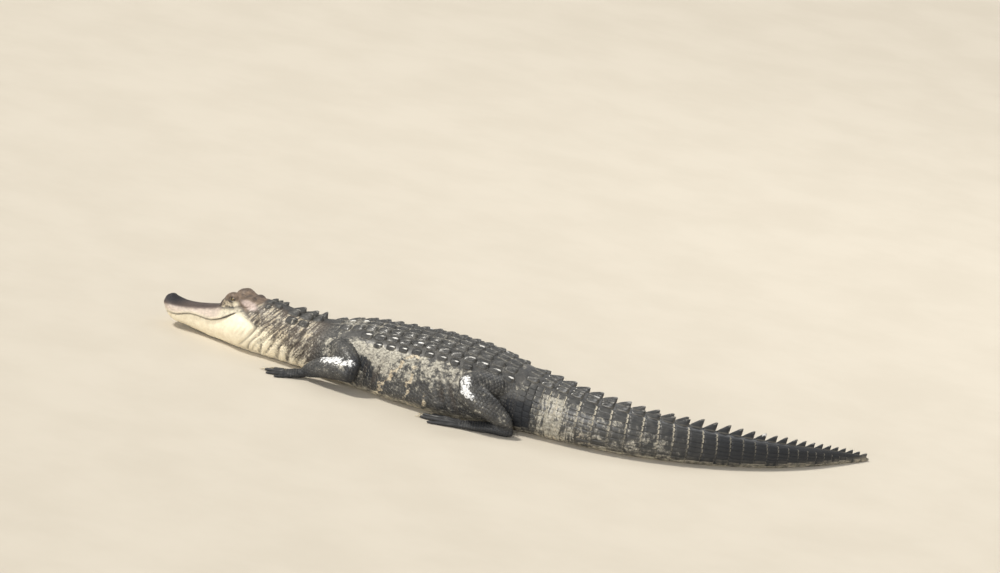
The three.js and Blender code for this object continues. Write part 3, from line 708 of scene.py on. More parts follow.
def half_section(station):
    """The right half of a section, from the middle of the back to the middle of the belly."""
    at = float(np.clip(station, 0, TOTAL))
    half, top, widest, bottom, above, below = (float(follow(SECTIONS, at, c)) for c in range(1, 7))
    half, top, bottom = half - SKIN_DEPTH, top - SKIN_DEPTH, bottom + SKIN_DEPTH
    if at > 2100:
        # the tip of the tail keeps a little width
        half = max(half, 1.6)
    parting = float(np.clip(follow(PARTING, at), bottom + 1.0, top - 1.0))
    jaws = float(1 - step(MOUTH_CORNER - 4, MOUTH_CORNER + 8, at))
    inset = LIP_OVERHANG * float(1 - step(MOUTH_CORNER - 22, MOUTH_CORNER + 8, at))
    gap = 0.8 + 0.9 * (1 - jaws)
    gap = min(gap, (top - bottom) * 0.06)

    def angle_at(level):
        if level >= widest:
            return math.asin(min(1, ((level - widest) / (top - widest)) ** (above / 2)))
        return -math.asin(min(1, ((widest - level) / (widest - bottom)) ** (below / 2)))

    def points(angles, width):
        c, s = np.cos(angles), np.sin(angles)
        power = np.where(s >= 0, above, below)
        side = width * np.abs(c) ** (2 / power)
        reach = np.where(s >= 0, top - widest, widest - bottom)
        height = widest + np.sign(s) * reach * np.abs(s) ** (2 / power)
        height = height + crown(at, side) * step(0, 0.5, s)
        return side, np.maximum(height, FLOOR_GAP)

    side, height = points(np.linspace(math.pi / 2, angle_at(parting + gap), 360), half)
    side[0] = 0
    side, height, weight = head_details(at, side, height, parting, jaws)
    upper = resample(side, height, UPPER_COUNT, weight)
    side, height = points(np.linspace(angle_at(parting - gap), -math.pi / 2, 160), half - inset)
    side[-1] = 0
    lower = resample(side, height, LOWER_COUNT, np.ones(len(side)))
    # two points deep in the mouth's groove join the halves
    inner = lower[0][0] - 5.0 * jaws
    return (
        np.concatenate([upper[0], [inner + 0.3 * gap, inner], lower[0]]),
        np.concatenate([upper[1], [parting + 0.35 * gap, parting - 0.35 * gap], lower[1]]),
    )


def overhang(station, height):
    """How far the nose stands forward of its section."""
    return NOSE_OVERHANG * (1 - step(12, 70, station)) * step(44, 62, height)


def body_rings():
    """Stations, and the side and height of the points of each half section."""
    stations = np.concatenate([
        [0, 0.6, 1.4, 2.4, 3.6],
        np.arange(5, 160, 1.5),
        np.arange(160, 270, 1.15),
        np.arange(270, 320, 1.8),
        np.arange(320, 560, 4.2),
        np.arange(560, TRUNK_END, 5.2),
        np.arange(TRUNK_END, 1900, 7.5),
        np.arange(1900, 2170, 7),
        [2172, 2176, 2179],
    ])
    halves = [half_section(s) for s in stations]
    return stations, np.array([h[0] for h in halves]), np.array([h[1] for h in halves])


# The fold behind the jowl: height and station
JOWL_LINE = [(0, 250), (15, 264), (35, 284), (55, 300), (75, 312), (92, 317), (110, 311), (126, 300)]
# Short folds on the cheek: station and depth
CHEEK_FOLDS = [(258, 1.8), (273, 2.2), (287, 1.8)]
# Stations of the bulges over the upper teeth
BULGES = (30, 96, 150, 178)
# Folds of the neck, which lean back as they rise: station, lean, depth and width
NECK_FOLDS = [
    (322, 0.62, 3.5, 4), (336, 0.55, 3.0, 4), (352, 0.55, 4.0, 5), (374, 0.50, 4.0, 5),
    (402, 0.45, 4.0, 6), (434, 0.45, 5.0, 7), (468, 0.40, 4.0, 7),
]
# The loose skin of the flank, gathered before the thigh and behind the arm, in the same measures
FLANK_FOLDS = [(905, -0.35, 5, 9), (935, -0.5, 4, 8), (700, 0.25, 3.5, 9), (668, 0.2, 3.5, 8)]


def relief(station, height):
    """Soft forms that swell from the plain sections or fold into them, in millimetres outwards."""
    over_mouth = height - follow(PARTING, station)
    out = np.zeros(np.shape(station))
    # the muscle of the jaw, and the fold behind it where the neck begins
    out += 7.0 * hill(station - 268, 30) * hill(height - 66, 28)
    behind = station - follow(JOWL_LINE, height)
    out -= 5.0 * hill(behind, 4.5) * step(10, 30, height) * step(128, 112, height)
    for start, depth in CHEEK_FOLDS:
        out -= depth * hill(station - start - 0.62 * (height - 66), 2.8) * hill(height - 66, 17)
    for tooth in BULGES:
        out += 1.6 * hill(station - tooth, 9) * hill(over_mouth - 9, 7) * (over_mouth > 0)
    for start, lean, depth, width in NECK_FOLDS:
        line = start + lean * (height - MIDDLE) + 3 * np.sin(height * 0.09 + start)
        out -= depth * hill(station - line, width) * step(128, 104, height) * step(2, 18, height)
        out += depth * 0.5 * hill(station - line - width * 2.2, width * 1.6) * step(128, 104, height)
    for start, lean, depth, width in FLANK_FOLDS:
        line = start + lean * (height - MIDDLE)
        out -= depth * hill(station - line, width) * hill(height - 62, 46)
        out += depth * 0.6 * hill(station - line + width * 2.2, width * 1.5) * hill(height - 62, 46)
    # a roll of skin low along the flank
    out += 4.0 * hill(height - 34, 16) * step(690, 740, station) * (1 - step(900, 960, station))
    return out


def both_sides(right, sign=1):
    """The values of the right half of each ring, followed by those of the left half, from the belly up."""
    return np.concatenate([right, sign * right[:, -2:0:-1]], axis=1)


def outwards(side, height):
    """The direction out of each point of the half sections, in the plane of the section."""
    dside = np.gradient(side, axis=1)
    dheight = np.gradient(height, axis=1)
    length = np.maximum(np.hypot(dside, dheight), 1e-6)
    return -dheight / length, dside / length


def with_caps(rows):
    """Repeats the first row for each ring that closes the snout."""
    return np.concatenate([np.repeat(rows[:1], CAPS, axis=0), rows], axis=0)


def make_skin():
    """Head, body and tail as one closed piece, with the station, turn, girth and points of its rings."""
    stations, side, height = body_rings()
    # distance from the middle of the back, and its share of the way to the middle of the belly
    gap = np.hypot(np.diff(side, axis=1), np.diff(height, axis=1))
    girth = np.concatenate([np.zeros((len(stations), 1)), np.cumsum(gap, axis=1)], axis=1)
    turn = both_sides(girth / girth[:, -1:], -1)
    out_side, out_height = outwards(side, height)
    out_side, out_height = both_sides(out_side, -1), both_sides(out_height)
    side, height = both_sides(side, -1), both_sides(height)
    station = np.repeat(stations[:, None], AROUND, axis=1)
    # outwards is away from the section's middle
    flip = np.where(out_side * side + out_height * (height - MIDDLE) < 0, -1.0, 1.0)
    swell = relief(station, height)
    side = side + out_side * swell * flip
    height = np.maximum(height + out_height * swell * flip, FLOOR_GAP)
    # the lower jaw starts a little behind the upper one, and the mouth's groove further back
    column = np.arange(AROUND)
    column = np.minimum(column, AROUND - column)
    set_back = 3.0 * (column > UPPER_COUNT) + 3.0 * ((column > UPPER_COUNT) & (column <= UPPER_COUNT + 2))
    lean = station - overhang(station, height)
    lean = lean + set_back[None, :] * (1 - step(0, 40, station))
    # the blunt front of the snout: both halves drawn together to the middle
    caps = []
    for share in CAP_SHARES:
        bulge = 2.2 * (1 - share * share)
        caps.append(place(lean[0] - bulge, side[0] * share, height[0]))
    rings = np.concatenate([np.array(caps), place(lean, side, height)], axis=0)
    skin = piece_from_grid("skin", len(rings), AROUND, metres(rings))
    close_ends(skin, 1e-6)
    return skin, (with_caps(station), with_caps(turn), with_caps(girth), rings)


# The legs

# Each segment of a leg, with the sides and the steps of its rings
LEG_SEGMENTS = (("upper", 32, 26), ("lower", 32, 34), ("palm", 24, 16))
TOE_SIDES = 12
TOE_STEPS = 18
# Share of the way from the knuckle to the tip, then height and radius in thicknesses of the toe
TOE_SHAPE = [
    (-0.12, 1.0, 0.9), (0.05, 1.1, 1.0), (0.22, 1.25, 1.08), (0.38, 0.95, 0.92), (0.55, 0.95, 0.98),
    (0.75, 0.74, 0.78), (0.92, 0.66, 0.68), (1.0, 0.6, 0.42),
]
# Millimetres past the tip of the toe, then the same measures, and the point of the claw in millimetres
CLAW_SHAPE = [(-7, 0.64, 0.30), (-1, 0.72, 0.36), (5, 0.66, 0.29), (10, 0.42, 0.18)]
CLAW_TIP = (15, 1.1, 0.45)
# Toes and claws are this much lower than wide
FLATNESS = 0.9
# Steps of a web from toe to toe and outwards, and its height at the knuckles, its fall and its underside
WEB_ACROSS = 12
WEB_OUT = 6
WEB_TOP, WEB_FALL, WEB_UNDER = 6.2, 3.0, 0.9
SEAM = 1e-7

# A segment is a row of points with x, y and height, then half width and half height. A toe is the x and y of
# its knuckle and of its tip, its thickness, and whether it has a claw.
FORE = {
    "upper": [
        (560, -50, 92, 28, 28), (580, -82, 94, 38, 36), (606, -114, 88, 34, 33), (634, -142, 74, 29, 29),
        (649, -152, 66, 16, 17), (654, -155, 63, 6, 7),
    ],
    "lower": [
        (656, -152, 60, 10, 12), (640, -150, 60, 26, 27), (594, -142, 56, 29, 30), (545, -134, 44, 26, 27),
        (512, -131, 28, 19, 19), (494, -130, 19, 14, 12), (486, -130, 17, 8, 8),
    ],
    "palm": [
        (504, -130, 15, 10, 9), (492, -131, 14, 17, 12), (472, -138, 11, 23, 10), (456, -144, 9, 21, 8),
        (450, -146, 8, 12, 6),
    ],
    "toes": [
        ((480, -120), (436, -102), 6, True), ((464, -130), (406, -124), 6.5, True),
        ((458, -142), (392, -154), 6.5, True), ((460, -153), (406, -180), 5.5, False),
        ((470, -160), (436, -192), 5, False),
    ],
    "web": 0.0,
}
HIND = {
    "upper": [
        (1052, -38, 106, 30, 30), (1032, -72, 113, 40, 38), (1008, -106, 118, 40, 37),
        (988, -136, 119, 37, 36), (974, -155, 113, 31, 31), (965, -167, 107, 12, 13),
    ],
    "lower": [
        (961, -162, 108, 10, 12), (971, -161, 105, 30, 31), (998, -157, 95, 35, 36), (1034, -149, 77, 33, 34),
        (1070, -140, 56, 25, 27), (1100, -131, 38, 17, 19), (1114, -126, 28, 8, 9),
    ],
    "palm": [
        (1120, -124, 15, 8, 9), (1102, -127, 17, 16, 17), (1052, -136, 14, 20, 14), (1004, -150, 11, 25, 11),
        (976, -158, 8, 21, 8),
    ],
    "toes": [
        ((986, -140), (884, -128), 7, True), ((976, -150), (866, -150), 7.5, True),
        ((974, -161), (868, -176), 7.5, True), ((984, -170), (900, -204), 6.5, False),
    ],
    "web": 0.6,
}


def mirrored(leg, forward, splay):
    """The leg on the other side, moved forward, and spread forward from some way out."""
    # the spread begins this far from the middle
    inside = 90

    def flip(p):
        return (p[0] - forward - splay * max(0, -p[1] - inside), -p[1], *p[2:])

    segments = {part: [flip(p) for p in leg[part]] for part, _, _ in LEG_SEGMENTS}
    toes = [(flip(knuckle), flip(tip), thick, claw) for knuckle, tip, thick, claw in reversed(leg["toes"])]
    return {**leg, **segments, "toes": toes}


LEGS = {
    "fore_left": FORE,
    "fore_right": mirrored(FORE, -18, 0.1),
    "hind_left": HIND,
    "hind_right": mirrored(HIND, 14, -0.12),
}


def limb_curve(path, steps):
    """Points and directions of the solids' smooth curve through a limb's path."""
    points = np.array([p[:3] for p in path], float)
    count = len(points)
    made, ways = [], []

    def at(t):
        p = (count - 1) * t
        i = min(int(math.floor(p)), count - 2)
        w = p - i
        p0 = points[i - 1] if i > 0 else 2 * points[0] - points[1]
        p1, p2 = points[i], points[i + 1]
        p3 = points[i + 2] if i + 2 < count else 2 * points[-1] - points[-2]
        d = [max(np.linalg.norm(b - a) ** 0.5, 1e-4) for a, b in ((p0, p1), (p1, p2), (p2, p3))]
        t1 = ((p1 - p0) / d[0] - (p2 - p0) / (d[0] + d[1]) + (p2 - p1) / d[1]) * d[1]
        t2 = ((p2 - p1) / d[1] - (p3 - p1) / (d[1] + d[2]) + (p3 - p2) / d[2]) * d[1]
        return p1 + t1 * w + (-3 * p1 + 3 * p2 - 2 * t1 - t2) * w**2 + (2 * p1 - 2 * p2 + t1 + t2) * w**3

    for r in range(steps + 1):
        t = r / steps
        made.append(at(t))
        way = at(min(t + 1e-3, 1)) - at(max(t - 1e-3, 0))
        ways.append(way / np.linalg.norm(way))
    return np.array(made), np.array(ways)


def limb_rings(path, sides, steps, swell=None):
    """Rings round a limb's curve, swollen by a function of the share along it and the angle."""
    centres, ways = limb_curve(path, steps)
    across = np.cross(np.array([0, 0, 1.0]), ways)
    across /= np.linalg.norm(across, axis=1)[:, None]
    up = np.cross(ways, across)
    table = [(i, p[3], p[4]) for i, p in enumerate(path)]
    t = np.linspace(0, len(path) - 1, steps + 1)
    wide, high = follow(table, t, 1), follow(table, t, 2)
    angle = (np.arange(sides) + 0.5) / sides * 2 * math.pi
    grow = np.zeros((steps + 1, sides))
    if swell:
        grow = swell(t[:, None] / (len(path) - 1), angle[None, :])
    rings = (
        centres[:, None, :]
        + across[:, None, :] * ((wide[:, None] + grow) * np.cos(angle)[None, :])[:, :, None]
        + up[:, None, :] * ((high[:, None] + grow) * np.sin(angle)[None, :])[:, :, None]
    )
    rings[:, :, 2] = np.maximum(rings[:, :, 2], FLOOR_GAP)
    return rings


def limb(name, path, sides, steps, swell=None):
    """A closed piece round a path."""
    rings = limb_rings(path, sides, steps, swell)
    piece = piece_from_grid(name, steps + 1, sides, metres(rings))
    close_ends(piece, SEAM)
    return piece


def between(p, q, share):
    """The point of the floor plan that lies a share of the way from one point to another."""
    return p[0] + (q[0] - p[0]) * share, p[1] + (q[1] - p[1]) * share


def toe_path(knuckle, tip, thick):
    return [
        (*between(knuckle, tip, share), thick * height, thick * radius, thick * radius * FLATNESS)
        for share, height, radius in TOE_SHAPE
    ]


def claw_path(knuckle, tip, thick):
    run = math.hypot(tip[0] - knuckle[0], tip[1] - knuckle[1])
    rows = [(far, thick * height, thick * radius) for far, height, radius in CLAW_SHAPE]
    return [
        (*between(knuckle, tip, 1 + far / run), height, radius, radius * FLATNESS)
        for far, height, radius in (*rows, CLAW_TIP)
    ]


def web_slab(name, heel, first, second, share):
    """The web between two toes, out to a share of their length at the toes and less in the middle."""
    tips = between(first[0], first[1], share), between(second[0], second[1], share)
    hollow = between(between(tips[0], tips[1], 0.5), heel, 0.2)
    rings = []
    for i in range(WEB_ACROSS + 1):
        t = i / WEB_ACROSS
        edge = between(between(tips[0], hollow, t), between(hollow, tips[1], t), t)
        inner = between(first[0], second[0], t)
        column = [between(inner, edge, j / WEB_OUT) for j in range(WEB_OUT + 1)]
        top = [(x, y, WEB_TOP - WEB_FALL * j / WEB_OUT) for j, (x, y) in enumerate(column)]
        rings.append(top + [(x, y, WEB_UNDER) for x, y in reversed(column)])
    piece = piece_from_grid(name, WEB_ACROSS + 1, 2 * (WEB_OUT + 1), metres(rings))
    close_ends(piece, SEAM)
    return piece


def muscle(t, angle):
    """How much a leg's muscles swell it, which is nothing at both ends."""
    return 2.0 * np.sin(angle * 3 + 6 * t) * np.sin(math.pi * t)


def make_leg(name, leg):
    """The pieces of one leg, which the skin takes in."""
    parts = []
    for part, sides, steps in LEG_SEGMENTS:
        parts.append(limb(f"{name}_{part}", leg[part], sides, steps, None if part == "palm" else muscle))
    for i, (knuckle, tip, thick, _) in enumerate(leg["toes"]):
        parts.append(limb(f"{name}_toe_{i}", toe_path(knuckle, tip, thick), TOE_SIDES, TOE_STEPS))
    if leg["web"]:
        for i, (first, second) in enumerate(zip(leg["toes"], leg["toes"][1:])):
            parts.append(web_slab(f"{name}_web_{i}", leg["palm"][0], first, second, leg["web"]))
    return parts


# Places on the body


class Body:
    """Looks up points of the body's surface by station and turn, the turn below 0 on the left side."""

    def __init__(self, station, turn, girth, rings):
        self.station = station[:, 0]
        self.turn = np.abs(turn[:, :HALF])
        self.half_girth = girth[:, -1]
        mirror = (AROUND - np.arange(HALF)) % AROUND
        self.sides = {1: rings[:, :HALF], -1: rings[:, mirror]}

    def girth(self, station):
        """Half the way round the body, from the middle of the back to the middle of the belly."""
        return np.interp(station, self.station[CAPS:], self.half_girth[CAPS:])

    def point(self, station, turn):
        station, turn = np.broadcast_arrays(np.asarray(station, float), np.asarray(turn, float))
        shape = station.shape
        station, turn = station.ravel(), turn.ravel()
        row = np.interp(station, self.station[CAPS:], np.arange(CAPS, len(self.station)))
        below = np.clip(row.astype(int), CAPS, len(self.station) - 2)
        part = row - below
        far = np.clip(np.abs(turn), 0, 1)
        found = []
        for r in (below, below + 1):
            table = self.turn[r]
            k = np.clip((table <= far[:, None]).sum(1) - 1, 0, HALF - 2)
            n = np.arange(len(k))
            g = ((far - table[n, k]) / np.maximum(table[n, k + 1] - table[n, k], 1e-9))[:, None]
            right = self.sides[1][r, k] * (1 - g) + self.sides[1][r, k + 1] * g
            left = self.sides[-1][r, k] * (1 - g) + self.sides[-1][r, k + 1] * g
            found.append(np.where(turn[:, None] >= 0, right, left))
        made = found[0] * (1 - part[:, None]) + found[1] * part[:, None]
        return made.reshape(*shape, 3)


def kd_tree(points):
    tree = KDTree(len(points))
    for i, p in enumerate(points):
        tree.insert(p, i)
    tree.balance()
    return tree


def nearest(tree, points):
    """Which of the tree's points is nearest to each point, and how far it is."""
    index = np.empty(len(points), int)
    distance = np.empty(len(points))
    for i, p in enumerate(points):
        _, index[i], distance[i] = tree.find(p)
    return index, distance


class Places:
    """What part of the animal a point belongs to, for the markings and for the smoothing of the joints."""

    # how soon a limb's marks give way to the body's, how far a joint reaches, and what the toes keep clear
    LIMB_EDGE = 5
    JOINT_REACH = 13
    TOE_CLEAR = 6

    def __init__(self, station, turn, rings):
        self.body_tree = kd_tree(rings.reshape(-1, 3))
        self.station = station.ravel()
        self.turn = turn.ravel()
        self.limb_trees = [
            kd_tree(limb_rings(leg[part], sides, steps).reshape(-1, 3))
            for leg in LEGS.values()
            for part, sides, steps in LEG_SEGMENTS
        ]
        toes = [
            limb_rings(toe_path(knuckle, tip, thick), TOE_SIDES, TOE_STEPS).reshape(-1, 3)
            for leg in LEGS.values()
            for knuckle, tip, thick, _ in leg["toes"]
        ]
        self.toe_tree = kd_tree(np.concatenate(toes))

    def find(self, points):
        """Station, turn, how far into a limb, and how near to a joint between parts."""
        index, off_body = nearest(self.body_tree, points)
        near = np.array([off_body] + [nearest(tree, points)[1] for tree in self.limb_trees])
        off_toes = nearest(self.toe_tree, points)[1]
        off_limb = np.minimum(near[1:].min(axis=0), off_toes)
        limb_share = step(-self.LIMB_EDGE, self.LIMB_EDGE, off_body - off_limb)
        second = np.sort(near, axis=0)[1]
        joint = np.clip(1 - second / self.JOINT_REACH, 0, 1) * (off_toes > self.TOE_CLEAR)
        return self.station[index], self.turn[index], limb_share, joint


def smooth_joints(skin, joint):
    """Rounds the creases that the union leaves where the parts of the animal meet."""
    rounds = 14
    points = vertex_array(skin)
    edges = np.empty(len(skin.data.edges) * 2, int)
    skin.data.edges.foreach_get("vertices", edges)
    a, b = edges.reshape(-1, 2).T
    count = np.bincount(a, minlength=len(points)) + np.bincount(b, minlength=len(points))
    share = (np.clip(joint * 1.4, 0, 1) * 0.6)[:, None]
    for _ in range(rounds):
        total = np.stack([
            np.bincount(a, points[b, c], len(points)) + np.bincount(b, points[a, c], len(points))
            for c in range(3)
        ], axis=1)
        points = points * (1 - share) + total / np.maximum(count, 1)[:, None] * share
    set_vertices(skin, points)


# Markings

# Station and the height of the upper edge of the cream underside, and of the lower edge of the dark snout
PALE_LINE = [
    (0, 55), (26, 58), (59, 62), (82, 66), (108, 72), (136, 79), (160, 86), (180, 95), (205, 105),
    (240, 112), (262, 108), (290, 98), (318, 84), (345, 77), (370, 70), (395, 60), (425, 46), (480, 30),
    (560, 14), (700, 6), (1100, 2), (1500, 0), (2180, -4),
]
MAUVE_LINE = [(0, 52), (26, 57), (59, 61), (82, 65), (108, 71), (136, 78), (167, 87), (190, 108), (283, 150)]
# Places of painted white highlight on wet skin, which are glossier too: a line along the forearm and two on
# the knee, with how far each reaches and where it is full
PAINTED_HIGHLIGHT_LINES = [
    ((560, -140, 70), (636, -150, 84), 24, 9),
    ((970, -172, 136), (980, -174, 128), 24, 24 * 0.4),
    ((985, -184, 112), (1003, -182, 98), 17, 17 * 0.4),
]
# The line at the back of each elbow where shade is painted, with how far it reaches and where it is full
PAINTED_ELBOW_SHADE_LINE = ((660, -158, 96), (646, -150, 44), 40, 20)


def near_line(points, start, end, far, close):
    """1 within close of a line and 0 beyond far, alike on both sides of the animal."""
    at = np.array(points, float)
    at[:, 1] = -np.abs(at[:, 1])
    start, way = np.array(start, float), np.subtract(end, start)
    t = np.clip(((at - start) @ way) / (way @ way), 0, 1)
    return step(far, close, np.linalg.norm(at - (start + t[:, None] * way), axis=1))


def strongest(*marks):
    return np.maximum.reduce(marks)


class Spots:
    """The places to be marked, and how far each lies in the regions of the animal."""

    def __init__(self, points, station, turn, limb):
        self.points, self.station, self.limb = points, station, limb
        self.height = points[:, 2]
        self.side = np.abs(turn)
        self.body = 1 - limb
        self.over_pale = self.height - follow(PALE_LINE, station)
        self.over_mouth = self.height - follow(PARTING, station)
        self.behind = station - follow(JOWL_LINE, self.height)
        # above the jowl the streaks of the neck begin further forward
        self.rear = self.behind + 36 * step(82, 104, self.height)
        self.head = 1 - step(-6, 8, self.behind)
        neck_end = 1 - step(470, 540, station)
        self.neck = step(-4, 14, self.rear) * neck_end * step(0.03, 0.15, self.side) * self.body
        self.tail = step(1080, 1140, station) * self.body
        # the mottled slope before the eye
        lore = step(164, 194, station) * step(242, 224, station) * step(139, 117, self.height)
        self.lore = lore * (step(-9, 7, self.over_pale) * step(0.11, 0.17, self.side) * self.body)


def pale_mark(at):
    """The cream underside, dimmer on the upper lip and behind the jowl, and a pale place below the eye."""
    soft = 5 + 4 * step(150, 200, at.station) + 17 * step(-4, 24, at.behind)
    pale = step(1, -1, at.over_pale / soft) * at.body
    dim = 0.16 + 0.12 * step(176, 200, at.station)
    pale = pale * (1 - dim * (1 - step(240, 262, at.station)) * (at.over_mouth > 0))
    pale = pale * (1 - 0.14 * step(0, 30, at.behind) * step(20, 60, at.height))
    lid = hill((at.station - 230) / 8, 1) * hill((at.height - 124) / 6, 1) * (at.side > 0.14) * at.body
    return strongest(pale * (1 - at.lore), lid)


def lilac_mark(at):
    """The smooth patch behind the eye, under the edge of the skull table, and the tint of the upper lip."""
    tilt = at.height - 130 + 0.10 * (at.station - 270)
    patch = step(0.30, 0.70, hill((at.station - 270) / 32, 1) * hill(tilt / 11, 1))
    patch = patch * at.body * step(308, 298, at.station) * step(234, 250, at.station)
    lip = step(0, 12, at.over_mouth) * (1 - step(176, 200, at.station)) * at.head
    return strongest(patch, 0.75 * lip * step(7, -3, at.over_pale))


def mauve_mark(at):
    """The dark top of the snout."""
    over = at.height - follow(MAUVE_LINE, at.station)
    return at.head * step(-5, 5, over) * (1 - step(176, 198, at.station))


def brown_mark(at):
    """The umber head behind and above the eyes."""
    brown = at.head * step(172, 196, at.station) * step(-4, 8, at.over_pale - 6) * at.body
    return brown * (1 - step(-4, 14, at.rear) * step(0.13, 0.20, at.side)) * (1 - at.lore)


def tan_mark(at):
    """Sandy places: the slope before the eye, the neck, the bands of the flank, and the sides of the tail."""
    station, height, side, body = at.station, at.height, at.side, at.body
    wave = 5 * np.sin(height * 0.16)
    band = hill(station - 742 - 0.62 * (height - 70) + wave, 10)
    band = band + 0.9 * hill(station - 806 - 0.1 * (height - 70) - wave, 9)
    band = band + 0.8 * hill(station - 860 - 0.3 * (height - 50) + wave, 9) * step(90, 50, height)
    fade = 1 - 0.8 * step(1450, 1700, station)
    return strongest(
        0.06 * step(0.22, 0.34, side) * body * step(-6, 8, at.behind),
        (0.63 + 0.20 * hill(station - 380, 40) * hill(height - 78, 26)) * at.neck,
        0.80 * at.neck * step(74, 30, height),
        0.94 * band * (side > 0.3) * body * step(500, 560, station),
        0.62 * hill(station - 1290, 55) * step(84, 40, height) * body,
        0.50 * step(44, 16, height) * step(1120, 1200, station) * fade * body,
        0.42 * hill(station - 1208, 50) * step(0.20, 0.30, side) * body,
        at.lore * 0.86,
    )


def flank_mark(at):
    """Grey places: the flank, the hide between the back's plates, the hip, the tail's root, the limbs."""
    station, height, side, body = at.station, at.height, at.side, at.body
    flank = 0.91 * step(0.24, 0.34, side) * step(480, 540, station) * (1 - step(1000, 1080, station)) * body
    flank = flank * (1 - 0.17 * step(740, 880, station))
    flank = flank + 0.14 * hill(station - 640, 110) * hill(side - 0.38, 0.15) * body
    hip = hill(station - 1100, 42) * hill(height - 130, 20) * step(0.14, 0.22, side)
    shield = step(0.5, 0.0, side) * step(500, 560, station) * (1 - 0.3 * step(640, 760, station))
    return strongest(
        flank * (1 - 0.50 * step(108, 50, height)),
        hill(station - 1205, 58) * step(0.20, 0.30, side) * body,
        0.70 * at.neck,
        0.72 * hip * body,
        0.90 * shield * (1 - at.tail) * body,
        0.56 * at.tail * step(0.2, 0.4, side) * (1 - step(1450, 1700, station)),
        0.45 * at.limb * (height > 30),
    )


def black_and_painted_shade_mark(at):
    """Nearly black places: the nose, the feet, and painted shade over the end of the tail, at the backs of
    the elbows and in the nooks by the legs.
    """
    station, height, side = at.station, at.height, at.side
    # painted shade in the nook behind each arm and in the gap behind each thigh
    painted_nook_shade = hill((station - 668) / 34, 1) * hill((height - 82 + 0.5 * (station - 668)) / 24, 1)
    gap = step(1056, 1078, station) * (1 - step(1138, 1158, station)) * step(108, 90, height)
    return strongest(
        0.90 * step(1400, 1690, station) * at.body,
        0.8 * at.limb * step(40, 22, height),
        at.head * step(66, 30, station) * step(60, 72, height),
        0.9 * near_line(at.points, *PAINTED_ELBOW_SHADE_LINE) * at.limb,
        step(0.25, 0.6, painted_nook_shade * step(0.36, 0.42, side)) * at.body,
        gap * step(0.32, 0.40, side) * at.body,
    )


def painted_crease_shade_mark(at):
    """Painted shade in the bottoms of the folds and along the line of the mouth."""
    painted_crease_shade = np.clip(-relief(at.station, at.height) / 4.0, 0, 1) * step(240, 256, at.station) * at.body
    painted_mouth_shade = hill(at.over_mouth, 2.4) * step(14, 40, at.station) * (1 - step(236, 244, at.station))
    return strongest(painted_crease_shade * (1 - 0.4 * at.head), painted_mouth_shade * at.body)


def wet_mark(at, black_and_painted_shade):
    """How glossy the hide is, apart from the places of painted highlight: most on limbs, back and the front
    of the tail.
    """
    back = step(0.26, 0.18, at.side) * step(500, 560, at.station) * at.body
    tail = 0.40 * at.tail * (1 - 0.7 * step(1350, 1600, at.station)) * step(1130, 1170, at.station)
    return 0.45 * at.limb * (1 - 0.5 * black_and_painted_shade) + 0.45 * back + tail + 0.12 * at.body * (1 - black_and_painted_shade)


def markings(points, station, turn, limb):
    """How strong each marking is, from 0 to 1, and the lane that the streaks follow, in metres."""
    at = Spots(points, station, turn, limb)
    black_and_painted_shade = black_and_painted_shade_mark(at)
    # painted highlights on forearms and knees, which also make the hide glossier there
    painted_highlight_and_gloss = strongest(*(near_line(points, *line) for line in PAINTED_HIGHLIGHT_LINES))
    marks = {
        "pale": pale_mark(at),
        "tan": tan_mark(at),
        "mauve": mauve_mark(at),
        "brown": brown_mark(at),
        "flank": flank_mark(at),
        "painted_crease_shade": painted_crease_shade_mark(at),
        "black_and_painted_shade": black_and_painted_shade,
        "streaky": strongest(at.neck, hill(station - 1205, 66) * step(0.18, 0.28, at.side) * at.body),
        "lilac": lilac_mark(at),
        "outer": step(0.20, 0.24, at.side) * step(600, 660, station) * at.body,
        "wet": wet_mark(at, black_and_painted_shade) + painted_highlight_and_gloss,
        "painted_highlight_and_gloss": painted_highlight_and_gloss,
    }
    lean = 0.62 * (1 - step(500, 620, station))
    lane = (station - lean * (at.height - MIDDLE)) / 1000
    return {**{name: np.clip(mark, 0, 1) for name, mark in marks.items()}, "lane": lane}


# Patterns that repeat

# Metres off the skin past which a copy is left out, and the size of a copy's patch of the unwrapping
STRAY = 0.0032
UV_SIZE = 0.0015
# Points round a limb and steps along it, for the rows of its scales
LIMB_SIDES = 64
LIMB_STEPS = 160
# The station and turn that give a limb's scales their markings
LIMB_PLACE = (700.0, 0.5)


def take_pattern(piece):
    """The finished pattern's points and faces. The piece itself isn't kept."""
    points = vertex_array(piece).copy()
    faces = [tuple(p.vertices) for p in piece.data.polygons]
    remove(piece)
    return points, faces


def round_scale(corners, squareness, rim, plateau, dome):
    """A low cushion on a rounded outline, two units long and wide and one high, its root one below."""
    bpy.ops.object.select_all(action="DESELECT")
    turn = (0, 0, math.pi / corners)
    bpy.ops.mesh.primitive_circle_add(vertices=corners, radius=1, fill_type="NGON", rotation=turn)
    bpy.ops.object.transform_apply(location=False, rotation=True, scale=False)
    piece = bpy.context.object
    points = vertex_array(piece)
    angle = np.arctan2(points[:, 1], points[:, 0])
    c, s = np.cos(angle), np.sin(angle)
    stretch = 1 / (np.abs(c) ** squareness + np.abs(s) ** squareness) ** (1 / squareness)
    points[:, 0], points[:, 1] = c * stretch, s * stretch
    points[:, 2] = -1
    set_vertices(piece, points)
    edit(piece)
    bpy.ops.mesh.select_all(action="SELECT")
    bpy.ops.mesh.inset(thickness=rim, depth=0)
    bpy.ops.transform.translate(value=(0, 0, 1.62))
    bpy.ops.mesh.inset(thickness=plateau, depth=0)
    bpy.ops.transform.translate(value=(0, 0, 0.38 * dome))
    bpy.ops.mesh.poke()
    bpy.ops.mesh.select_all(action="SELECT")
    bpy.ops.mesh.normals_make_consistent(inside=False)
    bpy.ops.object.mode_set(mode="OBJECT")
    return take_pattern(piece)


